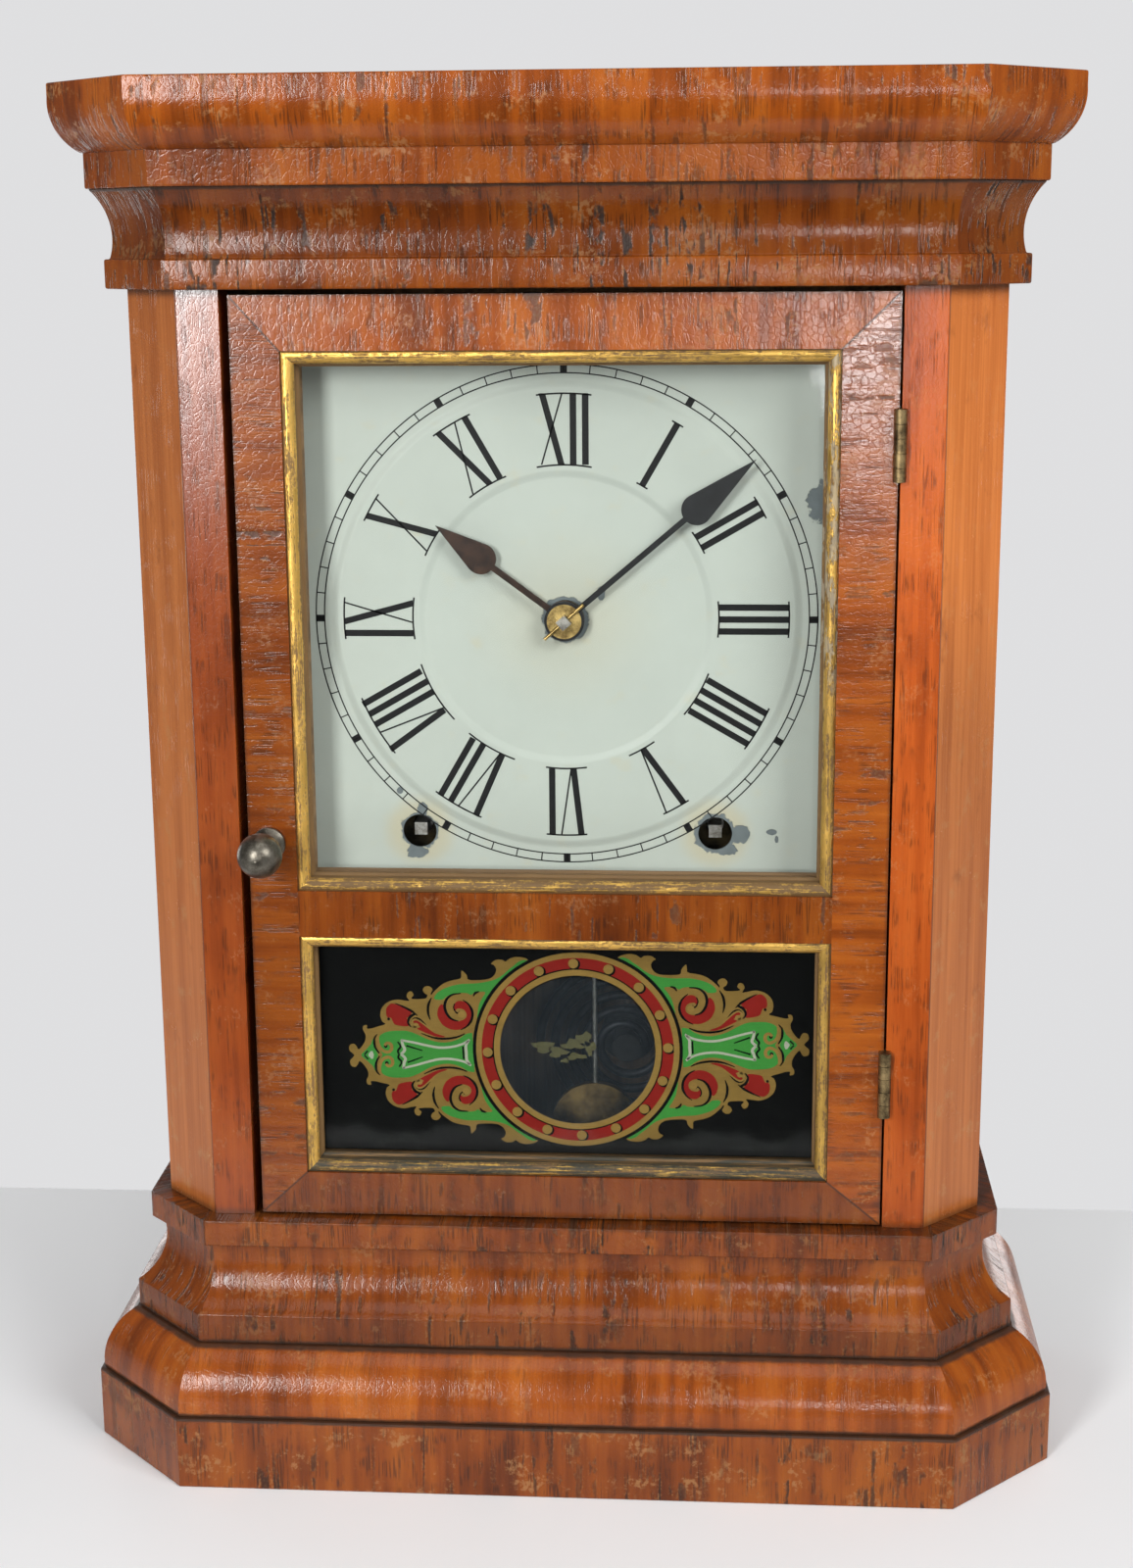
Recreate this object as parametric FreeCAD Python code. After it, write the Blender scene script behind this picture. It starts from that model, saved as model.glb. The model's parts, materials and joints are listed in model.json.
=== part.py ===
import FreeCAD, Part
import math
import os

# Cottage clock: a canted veneered case with a glazed door, a painted dial and a spring-driven
# time-and-strike movement. Millimetres, Z up, the clock faces -Y. Depths are measured back from
# the front plane of the case body, and angles on the dial run clockwise from twelve o'clock.
# The origin lies under the middle of the footprint.

Vec = FreeCAD.Vector

# Case plan
FRONT_HALF = 95.6
CANT = 16.2
BODY_DEPTH = 80.0

# Case stack, from the floor up
PLINTH_H = 20.2
OVOLO_H = 17.1
FILLET_H = 8.2
COVE_H = 18.2
SHELF_T = 7.3
BODY_H = 246.6
BAND_H = 7.4
CROWN_COVE_H = 17.3
MIDDLE_BAND_H = 8.8
CROWN_H = 16.9

# How far each moulding stands out from the body
PLINTH_P = 20.5
OVOLO_P = 19.3
OVOLO_TOP_P = 10.2
FILLET_P = 9.5
COVE_P = 1.6
COVE_TOP_P = 2.4
SHELF_P = 5.2
BAND_P = 5.1
CROWN_COVE_FOOT_P = 3.7
CROWN_COVE_P = 2.9
CROWN_COVE_TOP_P = 8.0
MIDDLE_BAND_P = 8.7
CROWN_FOOT_P = 9.3
CROWN_P = 16.3
CROWN_LIP = 3.5

# A point on the curve of each moulding, as shares of its run and of its rise
OVOLO_RUN_SHARE = 0.2
OVOLO_RISE_SHARE = 0.58
COVE_RISE_SHARE = 0.72
CROWN_COVE_RISE_SHARE = 0.29
CROWN_RUN_SHARE = 0.25
CROWN_RISE_SHARE = 0.39

# Boards
BASE_T = 10.0
SIDE_T = 10.0
POST_T = 12.0
BACK_T = 6.0
TOP_T = 8.0
BACK_SCREW_R = 1.5
BACK_SCREW_HEAD_R = 3.2
BACK_SCREW_L = 18.0
BACK_SCREW_ROWS = 4
BACK_SCREW_INSET = 22.0

# Door
POST_FACE_W = 10.8
DOOR_GAP_LATCH = 2.3
DOOR_GAP_HINGE = 0.6
DOOR_GAP_TOP = 1.4
DOOR_GAP_BOTTOM = 0.8
STILE_W = 14.8
BOTTOM_RAIL_H = 11.7
LOWER_LIGHT_H = 66.5
MIDDLE_RAIL_H = 12.5
TOP_RAIL_H = 13.8
GILT_W = 4.0
GILT_LIP_W = 1.2
GILT_SETBACK = 0.4
GILT_EDGE = 0.9
GILT_D = 6.0
GLASS_T = 2.0
GLASS_PLAY = 0.4
SLIP_W = 3.6
SLIP_D = 3.2

# Door hinges
HINGE_L = 18.0
HINGE_UP = 37.4
HINGE_DOWN = 40.0
KNUCKLES = 5
KNUCKLE_R = 1.65
KNUCKLE_GAP = 0.15
KNUCKLE_PROUD = 1.2
HINGE_PIN_R = 0.8
LEAF_T = 0.9
LEAF_W = 8.0
LEAF_GAP = 0.2
WOOD_CLEARANCE = 0.35

# Knob and latch
KNOB_INSET = 5.5
KNOB_UP = 103.7
KNOB_BALL_R = 5.8
KNOB_REACH = 18.8
KNOB_NECK_R = 2.4
KNOB_FLANGE_R = 4.4
KNOB_FLANGE_T = 1.2
KNOB_SHANK_R = 1.8
LATCH_T = 2.0
LATCH_W = 6.0
LATCH_L = 12.0
LATCH_BOSS_R = 4.0
LATCH_PLAY = 0.4

# Dial and hands
DIAL_SETBACK = 17.0
DIAL_T = 0.7
DIAL_LAP = 8.0
DIAL_HALF_H = 74.0
DIAL_CENTRE_HOLE_R = 5.0
WINDING_HOLE_R = 4.5
WINDING_X = 39.5
WINDING_DOWN = 57.5
BATTEN_LAP = 8.5
DIAL_SCREW_INSET = 4.0
DIAL_SCREW_R = 1.2
DIAL_SCREW_HEAD_R = 2.2
DIAL_SCREW_HEAD_T = 1.0
DIAL_SCREW_L = 6.5
HOUR_ANGLE = -53.5
HOUR_HAND_L = 41.6
HOUR_BULB_AT = 27.0
HOUR_SHAFT_W = 1.6
MINUTE_ANGLE = 49.7
MINUTE_HAND_L = 64.7
MINUTE_BULB_AT = 44.9
MINUTE_SHAFT_W = 1.5
BULB_R = 4.0
HAND_HUB_R = 5.2
HAND_T = 0.6
HAND_GAP = 1.1
HAND_DIAL_GAP = 2.2
HAND_SQUARE = 2.9
WASHER_R = 4.5
WASHER_T = 0.4
HAND_PIN_R = 0.45
HAND_PIN_L = 13.7
HAND_PIN_ANGLE = 48.0
HAND_END = 1.6

# Movement frame
PLATE_SETBACK = 28.0
PLATE_T = 1.6
PLATE_SPACE = 30.8
PLATE_HALF_W = 68.0
PLATE_BELOW_WINDING = 29.0
PLATE_ABOVE_VERGE = 14.5
PILLAR_R = 2.5
PILLAR_END_R = 1.6
PILLAR_NUT_R = 3.4
PILLAR_NUT_T = 2.0
TOP_PILLAR_X = 46.0
PILLAR_INSET = 6.0
SIDE_PILLAR_UP = 39.0
MOVEMENT_SCREW_X = 60.0
MOVEMENT_SCREW_R = 1.4
MOVEMENT_SCREW_HEAD_R = 2.8
MOVEMENT_SCREW_HEAD_T = 1.1
MOVEMENT_SCREW_TIP_GAP = 2.0
BLOCK_W = 12.0

# Running fits
PIVOT_CLEARANCE = 0.06
SEAT_CLEARANCE = 0.03
END_SHAKE = 0.3
CLEARANCE = 0.4

# Wheels, in tooth counts and modules
MAIN_TEETH = 72
MAIN_MODULE = 1.0
PINION = 8
SECOND_TEETH = 64
CENTRE_TEETH = 80
CENTRE_MODULE = 0.6
THIRD_TEETH = 88
ESCAPE_TEETH = 38
ESCAPE_R = 14.0
STRIKE_SECOND_TEETH = 54
STRIKE_SECOND_MODULE = 0.7
STRIKE_THIRD_TEETH = 64
STRIKE_THIRD_MODULE = 0.55
CANNON_TEETH = 14
MINUTE_TEETH = 42
MINUTE_PINION = 10
HOUR_TEETH = 40
CANNON_MODULE = 0.5
ADDENDUM = 0.9
DEDENDUM = 1.0
TOOTH_HALF = 0.21
LEAF_HALF = 0.19
TIP_HALF = 0.06
TRUNDLE = 0.6
RATCHET_TEETH = 20
RATCHET_R = 9.0
RATCHET_DEPTH = 1.5
RATCHET_RAKE = 0.15
ESCAPE_DEPTH = 1.7
ESCAPE_ROOT_FROM = 0.2
ESCAPE_ROOT_TO = 0.6

# Where the arbors stand
SECOND_BEND = -3.0
THIRD_BEARING = 25.0
STRIKE_SECOND_BEARING = 75.0
STRIKE_THIRD_BEARING = 100.0
FLY_BEARING = 75.0
MINUTE_WHEEL_BEARING = 225.0
VERGE_UP = 44.0
VERGE_TO_ESCAPE = 17.0
PENDULUM_X = 7.0

# Depth of each wheel's front face
SECOND_Y = 32.0
MAIN_Y = 36.0
ESCAPE_Y = 34.0
CENTRE_Y = 40.0
THIRD_Y = 46.0
STRIKE_SECOND_Y = 46.0
STRIKE_THIRD_Y = 52.0
COUNT_Y = 55.0
MINUTE_WHEEL_Y = 26.2
HOUR_WHEEL_Y = 24.2

# Wheel and arbor thicknesses
MAIN_T = 2.0
WHEEL_T = 1.2
THIN_T = 0.9
ARBOR_R = 1.2
FINE_ARBOR_R = 0.9
PIVOT_R = 0.6
HAND_ARBOR_R = 2.0
HOUR_PIPE_R = 3.4
CENTRE_HUB_R = 2.7
WINDING_ARBOR_R = 3.0
WINDING_HUB_R = 4.3
WINDING_PIVOT_R = 2.2
WINDING_SQUARE = 3.4
WINDING_RECESS = 1.8
COLLET_T = 0.8
COLLET_GAP = 0.6
COLLET_RIM = 0.4
SPOKES = 4
SPOKE_W = 3.0
HUB_R = 6.0
SECOND_HUB_R = 9.0
MAIN_HUB_R = 18.0

# Mainsprings
SPRING_Y = 41.0
SPRING_W = 17.0
SPRING_T = 0.6
SPRING_IN_R = 5.0
SPRING_OUT_R = 19.0
SPRING_HALF_TURNS = 12

# Escapement and pendulum
PALLET_CLEARANCE = 1.2
PALLET_SPREAD = 40.0
PALLET_ARM_W = 2.4
CRUTCH_L = 24.5
CRUTCH_R = 0.6
CRUTCH_SETBACK = 24.4
PENDULUM_SETBACK = 21.0
ROD_R = 0.7
SUSPENSION_T = 0.3
SUSPENSION_W = 3.0
SUSPENSION_UP = 6.0
SUSPENSION_DOWN = 5.0
STUD_W = 5.0
STUD_D = 4.0
STUD_SLOT_HALF = 0.8
STUD_FOOT_UP = 0.8
STUD_ARM_H = 4.0
BOB_R = 12.0
BOB_T = 8.0
BOB_EDGE = 2.4
BOB_UP = 20.0
NUT_R = 3.4
NUT_H = 3.2
ROD_END = 1.2

# Strike work
LIFT_PIN_R = 0.6
LIFT_PINS = 8
LIFT_PIN_L = 3.4
COUNT_R = 17.0
COUNT_NOTCH_W = 1.6
COUNT_NOTCH_D = 3.0
HOURS = 12
FLY_R = 9.0
FLY_L = 15.0
FLY_T = 0.4
FLY_Y = 33.5
HAMMER_DOWN = 3.0
HAMMER_TAIL_Y = 43.0
HAMMER_TAIL_T = 1.5
HAMMER_ROD_Y = 58.2
HAMMER_ROD_R = 0.9
HAMMER_HEAD_R = 3.6
HAMMER_HEAD_L = 9.0
HAMMER_OUT = 16.0
HAMMER_GAP = 0.6

# Gong
GONG_X = 14.0
GONG_UP = 29.0
GONG_WIRE_R = 1.3
GONG_PITCH = 4.4
GONG_HALF_TURNS = 9
GONG_SETBACK = 60.0
GONG_NECK_R = 4.2
GONG_FOOT_R = 8.0
GONG_FOOT_T = 5.0
GONG_SAMPLES = 40

# Levels and planes that follow from the sizes above
CANT_ANGLE = math.radians(45)
TAN_HALF_CANT = math.tan(CANT_ANGLE / 2)
SIN_CANT = math.sin(CANT_ANGLE)
Z_OVOLO = PLINTH_H
Z_FILLET = Z_OVOLO + OVOLO_H
Z_COVE = Z_FILLET + FILLET_H
Z_SHELF = Z_COVE + COVE_H
Z_BODY = Z_SHELF + SHELF_T
Z_BAND = Z_BODY + BODY_H
Z_CROWN_COVE = Z_BAND + BAND_H
Z_MIDDLE = Z_CROWN_COVE + CROWN_COVE_H
Z_CROWN = Z_MIDDLE + MIDDLE_BAND_H
Z_TOP = Z_CROWN + CROWN_H
Z_TOP_BOARD = Z_TOP - TOP_T
BODY_HALF = FRONT_HALF + CANT
SIDE_IN = BODY_HALF - SIDE_T
BACK_Y = BODY_DEPTH - BACK_T
POST_SLOPE = POST_T / SIN_CANT
SIDE_START = SIDE_IN - FRONT_HALF + POST_SLOPE
REACH = 2 * (BODY_HALF + BODY_DEPTH)
MITRE_REACH = (BODY_DEPTH + CANT) / 2
ORIGIN_Y = (BODY_DEPTH - PLINTH_P) / 2

OPENING_HALF = FRONT_HALF - POST_FACE_W
LIGHT_HALF = OPENING_HALF - STILE_W
DOOR_T = POST_T
DOOR_LEFT = -(OPENING_HALF - DOOR_GAP_LATCH)
DOOR_RIGHT = OPENING_HALF - DOOR_GAP_HINGE
DOOR_BOTTOM = Z_BODY + DOOR_GAP_BOTTOM
DOOR_TOP = Z_BAND - DOOR_GAP_TOP
LOWER_BOTTOM = DOOR_BOTTOM + BOTTOM_RAIL_H
LOWER_TOP = LOWER_BOTTOM + LOWER_LIGHT_H
UPPER_BOTTOM = LOWER_TOP + MIDDLE_RAIL_H
UPPER_TOP = DOOR_TOP - TOP_RAIL_H
HINGE_X = (DOOR_RIGHT + OPENING_HALF) / 2
HINGE_Y = -KNUCKLE_PROUD
HINGE_BASES = (DOOR_BOTTOM + HINGE_DOWN - HINGE_L / 2, DOOR_TOP - HINGE_UP - HINGE_L / 2)
KNOB_X = DOOR_LEFT + KNOB_INSET
KNOB_Z = DOOR_BOTTOM + KNOB_UP

DIAL_Z = (UPPER_BOTTOM + UPPER_TOP) / 2
DIAL_HALF_W = LIGHT_HALF + DIAL_LAP
DIAL_BACK = DIAL_SETBACK + DIAL_T
BATTEN_HALF = DIAL_HALF_W - BATTEN_LAP
BATTEN_BACK = PLATE_SETBACK - PILLAR_NUT_T - CLEARANCE
HOUR_HAND_Y = DIAL_SETBACK - HAND_DIAL_GAP - HAND_T
MINUTE_HAND_Y = HOUR_HAND_Y - HAND_GAP - HAND_T
WASHER_Y = MINUTE_HAND_Y - WASHER_T
HAND_PIN_Y = WASHER_Y - HAND_PIN_R
HAND_ARBOR_END = HAND_PIN_Y - HAND_PIN_R - HAND_END

FRONT_IN = PLATE_SETBACK + PLATE_T
BACK_IN = FRONT_IN + PLATE_SPACE
FRAME_BACK = BACK_IN + PLATE_T
CENTRE = (0.0, DIAL_Z)
WINDING_Z = DIAL_Z - WINDING_DOWN
TIME_MAIN = (WINDING_X, WINDING_Z)
STRIKE_MAIN = (-WINDING_X, WINDING_Z)
VERGE = (PENDULUM_X, DIAL_Z + VERGE_UP)
ESCAPE = (PENDULUM_X, VERGE[1] - VERGE_TO_ESCAPE)
PLATE_BOTTOM = WINDING_Z - PLATE_BELOW_WINDING
PLATE_TOP = VERGE[1] + PLATE_ABOVE_VERGE
SIDE_PILLAR_X = WINDING_X + SPRING_OUT_R + SPRING_T / 2 + PILLAR_R + CLEARANCE
PILLARS = [(0.0, PLATE_BOTTOM + PILLAR_INSET)]
PILLARS += [(s * SIDE_PILLAR_X, WINDING_Z + SIDE_PILLAR_UP) for s in (-1, 1)]
PILLARS += [(s * TOP_PILLAR_X, PLATE_TOP - PILLAR_INSET) for s in (-1, 1)]
MOVEMENT_SCREWS = [(s * MOVEMENT_SCREW_X, z) for s in (-1, 1)
                   for z in (PLATE_BOTTOM + PILLAR_INSET, PLATE_TOP - PILLAR_INSET)]
HAMMER = (0.0, WINDING_Z - HAMMER_DOWN)
LIFT_PIN_AT = STRIKE_SECOND_MODULE * (STRIKE_SECOND_TEETH / 2 - DEDENDUM) - SPOKE_W / 2
BOB_Z = Z_BODY + BOB_UP
NUT_TOP = BOB_Z - BOB_R
ROD_BOTTOM = NUT_TOP - NUT_H - ROD_END
GONG = (GONG_X, Z_BODY + GONG_UP)
GONG_IN_R = GONG_NECK_R + GONG_WIRE_R + SEAT_CLEARANCE
GONG_OUT_R = GONG_IN_R + GONG_HALF_TURNS * GONG_PITCH / 2 + GONG_WIRE_R


def bearing(a, b):
    """Angle of the way from a to b, in radians from +X towards +Z."""
    return math.atan2(b[1] - a[1], b[0] - a[0])


def polar(centre, radius, angle):
    """Point at a radius and an angle in radians from a centre."""
    return (centre[0] + radius * math.cos(angle), centre[1] + radius * math.sin(angle))


def mesh_distance(teeth, leaves, module):
    """Distance between two meshing arbors."""
    return module * (teeth + leaves) / 2


def mesh_module(a, b, teeth, leaves):
    """Module that makes a wheel and a pinion meet between two arbors."""
    return 2 * math.dist(a, b) / (teeth + leaves)


SECOND = polar(TIME_MAIN, mesh_distance(MAIN_TEETH, PINION, MAIN_MODULE),
               bearing(TIME_MAIN, CENTRE) + math.radians(SECOND_BEND))
SECOND_MODULE = mesh_module(SECOND, CENTRE, SECOND_TEETH, PINION)
THIRD = polar(CENTRE, mesh_distance(CENTRE_TEETH, PINION, CENTRE_MODULE), math.radians(THIRD_BEARING))
THIRD_MODULE = mesh_module(THIRD, ESCAPE, THIRD_TEETH, PINION)
STRIKE_SECOND = polar(STRIKE_MAIN, mesh_distance(MAIN_TEETH, PINION, MAIN_MODULE),
                      math.radians(STRIKE_SECOND_BEARING))
STRIKE_THIRD = polar(STRIKE_SECOND, mesh_distance(STRIKE_SECOND_TEETH, PINION, STRIKE_SECOND_MODULE),
                     math.radians(STRIKE_THIRD_BEARING))
FLY = polar(STRIKE_THIRD, mesh_distance(STRIKE_THIRD_TEETH, PINION, STRIKE_THIRD_MODULE),
            math.radians(FLY_BEARING))
MINUTE_ARBOR = polar(CENTRE, mesh_distance(MINUTE_TEETH, CANNON_TEETH, CANNON_MODULE),
                     math.radians(MINUTE_WHEEL_BEARING))
HOUR_MODULE = mesh_module(CENTRE, MINUTE_ARBOR, HOUR_TEETH, MINUTE_PINION)


def box(x0, x1, y0, y1, z0, z1):
    """Block between two corners."""
    return Part.makeBox(x1 - x0, y1 - y0, z1 - z0, Vec(x0, y0, z0))


def rod_y(at, radius, y0, y1):
    """Round bar along the depth."""
    return Part.makeCylinder(radius, y1 - y0, Vec(at[0], y0, at[1]), Vec(0, 1, 0))


def rod_z(x, y, radius, z0, z1):
    """Round upright bar."""
    return Part.makeCylinder(radius, z1 - z0, Vec(x, y, z0))


def rod_between(start, end, radius):
    """Round bar from one point to another."""
    way = end - start
    return Part.makeCylinder(radius, way.Length, start, way)


def plan_prism(points, z0, z1):
    """Upright prism over a plan of (x, y) points."""
    wire = Part.makePolygon([Vec(x, y, z0) for x, y in points + points[:1]])
    return Part.Face(wire).extrude(Vec(0, 0, z1 - z0))


def front_prism(points, y0, y1):
    """Plate whose outline of (x, z) points is seen from the front."""
    wire = Part.makePolygon([Vec(x, y0, z) for x, z in points + points[:1]])
    return Part.Face(wire).extrude(Vec(0, y1 - y0, 0))


def outline_face(place, start, steps):
    """Flat face from straight steps (a, b) and arc steps ((a, b), (a, b)) of middle and end."""
    edges = []
    here = place(*start)
    for step in steps + [start]:
        if isinstance(step[0], tuple):
            middle, end = place(*step[0]), place(*step[1])
            edges.append(Part.Arc(here, middle, end).toShape())
        else:
            end = place(*step)
            if (end - here).Length > 1e-6:
                edges.append(Part.makeLine(here, end))
        here = end
    return Part.Face(Part.Wire(edges))


def fused(first, others):
    """One solid from pieces that run into each other."""
    return first.fuse(others).removeSplitter()


def mirrored(shape):
    """Copy on the other side of the clock."""
    return shape.mirror(Vec(0, 0, 0), Vec(1, 0, 0))


def group(shapes):
    """Separate solids kept together."""
    return Part.makeCompound(shapes)


def save(name, shape):
    """Write one piece, moved so that the origin is under the middle of the footprint."""
    moved = shape.copy()
    moved.translate(Vec(0, -ORIGIN_Y, 0))
    moved.exportStep("parts/" + name + ".step")


def front_corner(p):
    """Plan point where the front meets the right cant, for a moulding that stands out by p."""
    return (FRONT_HALF + p * TAN_HALF_CANT, -p)


def outer_corner(p):
    """Plan point where the right cant meets the side, for a moulding that stands out by p."""
    return (BODY_HALF + p, CANT - p * TAN_HALF_CANT)


def case_plan(p, end_y):
    """Outline of the canted plan, standing out by p from the body."""
    right = [front_corner(p), outer_corner(p), (BODY_HALF + p, end_y)]
    left = [(-x, y) for x, y in reversed(right)]
    return right + left


def case_strips(start, steps, end_y):
    """Five mitred strips round the front of the case from one section of (stand-out, height)."""
    low, high = -MITRE_REACH, MITRE_REACH
    sector = {
        "front": [(-front_corner(low)[0], -low), front_corner(low), front_corner(high),
                  (-front_corner(high)[0], -high)],
        "cant": [front_corner(low), outer_corner(low), outer_corner(high), front_corner(high)],
        "side": [outer_corner(low), (BODY_HALF + low, end_y), (BODY_HALF + high, end_y),
                 outer_corner(high)],
    }
    place = {
        "front": lambda p, z: Vec(-REACH, -p, z),
        "cant": lambda p, z: Vec(FRONT_HALF + (p - REACH) * SIN_CANT, (-p - REACH) * SIN_CANT, z),
        "side": lambda p, z: Vec(BODY_HALF + p, -REACH, z),
    }
    way = {
        "front": Vec(2 * REACH, 0, 0),
        "cant": Vec(2 * REACH * SIN_CANT, 2 * REACH * SIN_CANT, 0),
        "side": Vec(0, 2 * REACH, 0),
    }
    strip = {}
    for run in sector:
        bar = outline_face(place[run], start, steps).extrude(way[run])
        strip[run] = bar.common(plan_prism(sector[run], 0, Z_TOP))
    strips = [mirrored(strip["side"]), mirrored(strip["cant"])]
    return group(strips + [strip["front"], strip["cant"], strip["side"]])


def frame_strips(x0, x1, z0, z1, start, steps):
    """Four mitred strips inside a rectangular light from one section of (inward, depth)."""
    inward = max(point[0] for point in steps + [start])
    corners = [(x0, z0), (x1, z0), (x1, z1), (x0, z1)]
    inner = [(x0 + inward, z0 + inward), (x1 - inward, z0 + inward),
             (x1 - inward, z1 - inward), (x0 + inward, z1 - inward)]
    place = [
        lambda q, y: Vec(x0, y, z0 + q),
        lambda q, y: Vec(x1 - q, y, z0),
        lambda q, y: Vec(x0, y, z1 - q),
        lambda q, y: Vec(x0 + q, y, z0),
    ]
    way = [Vec(x1 - x0, 0, 0), Vec(0, 0, z1 - z0), Vec(x1 - x0, 0, 0), Vec(0, 0, z1 - z0)]
    strips = []
    for side in range(4):
        after = (side + 1) % 4
        sector = front_prism([corners[side], corners[after], inner[after], inner[side]], 0, DOOR_T)
        strips.append(outline_face(place[side], start, steps).extrude(way[side]).common(sector))
    return strips


def base_pieces():
    """Base frame, its three mouldings and the shelf that carries the case."""
    save("base_frame", case_strips((-BASE_T, 0), [(0, 0), (0, Z_SHELF), (-BASE_T, Z_SHELF)], BACK_Y))
    save("plinth_moulding", case_strips((0, 0), [(PLINTH_P, 0), (PLINTH_P, Z_OVOLO), (0, Z_OVOLO)],
                                        BODY_DEPTH))
    ovolo_middle = (OVOLO_P - OVOLO_RUN_SHARE * (OVOLO_P - OVOLO_TOP_P), Z_OVOLO + OVOLO_RISE_SHARE * OVOLO_H)
    save("base_ovolo_moulding", case_strips((0, Z_OVOLO), [
        (OVOLO_P, Z_OVOLO), (ovolo_middle, (OVOLO_TOP_P, Z_FILLET)), (0, Z_FILLET)], BODY_DEPTH))
    cove_middle = (COVE_P, Z_COVE + COVE_RISE_SHARE * COVE_H)
    save("base_cove_moulding", case_strips((0, Z_FILLET), [
        (FILLET_P, Z_FILLET), (FILLET_P, Z_COVE), (cove_middle, (COVE_TOP_P, Z_SHELF)), (0, Z_SHELF)],
        BODY_DEPTH))
    shelf = plan_prism(case_plan(SHELF_P, BODY_DEPTH), Z_SHELF, Z_BODY)
    save("base_shelf", shelf.cut(box(-BODY_HALF, BODY_HALF, BACK_Y, BODY_DEPTH, Z_SHELF, Z_BODY)))


def hinge_cuts(leaf_x0, leaf_x1):
    """Gains that let hinge leaves and barrels into the wood."""
    cuts = []
    for z in HINGE_BASES:
        cuts.append(box(leaf_x0, leaf_x1, 0, KNUCKLE_R + LEAF_W, z, z + HINGE_L))
        cuts.append(rod_z(HINGE_X, HINGE_Y, KNUCKLE_R + WOOD_CLEARANCE, z, z + HINGE_L))
    return cuts


def back_screw_places():
    """Places of the screws that hold the back board to the side boards."""
    x = BODY_HALF - SIDE_T / 2
    low, high = Z_BODY + BACK_SCREW_INSET, Z_TOP_BOARD - BACK_SCREW_INSET
    rows = [low + (high - low) * i / (BACK_SCREW_ROWS - 1) for i in range(BACK_SCREW_ROWS)]
    return [(s * x, z) for s in (-1, 1) for z in rows]


def wood_screw(at, head_y, head_r, head_t, shank_r, length, inward, play):
    """Flat-headed screw along the depth; inward is +1 or -1, and play widens it into a hole."""
    head = rod_y(at, head_r + play, *sorted((head_y, head_y + inward * head_t)))
    shank = rod_y(at, shank_r + play, *sorted((head_y, head_y + inward * length)))
    return fused(head, [shank])


def back_screws(play):
    """Screws of the back board, sunk flush, or the holes for them."""
    head_t = BACK_SCREW_HEAD_R / 2
    return [wood_screw(at, BODY_DEPTH, BACK_SCREW_HEAD_R, head_t, BACK_SCREW_R, BACK_SCREW_L, -1, play)
            for at in back_screw_places()]


def gong_screw(play):
    """Screw that holds the gong block, driven from the back, or the hole for it."""
    length = BACK_T + GONG_FOOT_T
    return wood_screw(GONG, BODY_DEPTH, BACK_SCREW_HEAD_R, BACK_SCREW_HEAD_R / 2, BACK_SCREW_R, length, -1,
                      play)


def carcass_pieces():
    """Posts, sides, back, header and top."""
    post_plan = [(OPENING_HALF, 0), (FRONT_HALF, 0), (BODY_HALF, CANT), (BODY_HALF, SIDE_START),
                 (SIDE_IN, SIDE_START), (POST_T + FRONT_HALF - POST_SLOPE, POST_T), (OPENING_HALF, POST_T)]
    post = plan_prism(post_plan, Z_BODY, Z_TOP_BOARD)
    hinge_post = post.cut(hinge_cuts(OPENING_HALF, HINGE_X + LEAF_GAP / 2 + LEAF_T))
    save("corner_posts", group([mirrored(post), hinge_post]))
    holes = back_screws(SEAT_CLEARANCE)
    side = box(SIDE_IN, BODY_HALF, SIDE_START, BACK_Y, Z_BODY, Z_TOP_BOARD)
    save("side_boards", group([mirrored(side).cut(holes), side.cut(holes)]))
    back = box(-BODY_HALF, BODY_HALF, BACK_Y, BODY_DEPTH, 0, Z_TOP_BOARD)
    save("back_board", back.cut(holes + [gong_screw(SEAT_CLEARANCE)]))
    save("back_board_screws", group(back_screws(0)))
    save("header_rail", box(-OPENING_HALF, OPENING_HALF, 0, POST_T, Z_BAND, Z_TOP_BOARD))
    save("top_board", plan_prism(case_plan(0, BODY_DEPTH), Z_TOP_BOARD, Z_TOP))


def cornice_pieces():
    """The two mouldings of the cornice, each with the flat band below it."""
    cove_middle = (CROWN_COVE_P, Z_CROWN_COVE + CROWN_COVE_RISE_SHARE * CROWN_COVE_H)
    save("cornice_cove_moulding", case_strips((0, Z_BAND), [
        (BAND_P, Z_BAND), (BAND_P, Z_CROWN_COVE), (CROWN_COVE_FOOT_P, Z_CROWN_COVE),
        (cove_middle, (CROWN_COVE_TOP_P, Z_MIDDLE)), (0, Z_MIDDLE)], BODY_DEPTH))
    rise = CROWN_H - CROWN_LIP
    crown_middle = (CROWN_P - CROWN_RUN_SHARE * (CROWN_P - CROWN_FOOT_P), Z_CROWN + CROWN_RISE_SHARE * rise)
    save("crown_ovolo_moulding", case_strips((0, Z_MIDDLE), [
        (MIDDLE_BAND_P, Z_MIDDLE), (MIDDLE_BAND_P, Z_CROWN), (CROWN_FOOT_P, Z_CROWN),
        (crown_middle, (CROWN_P, Z_CROWN + rise)), (CROWN_P, Z_TOP), (0, Z_TOP)], BODY_DEPTH))


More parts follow.
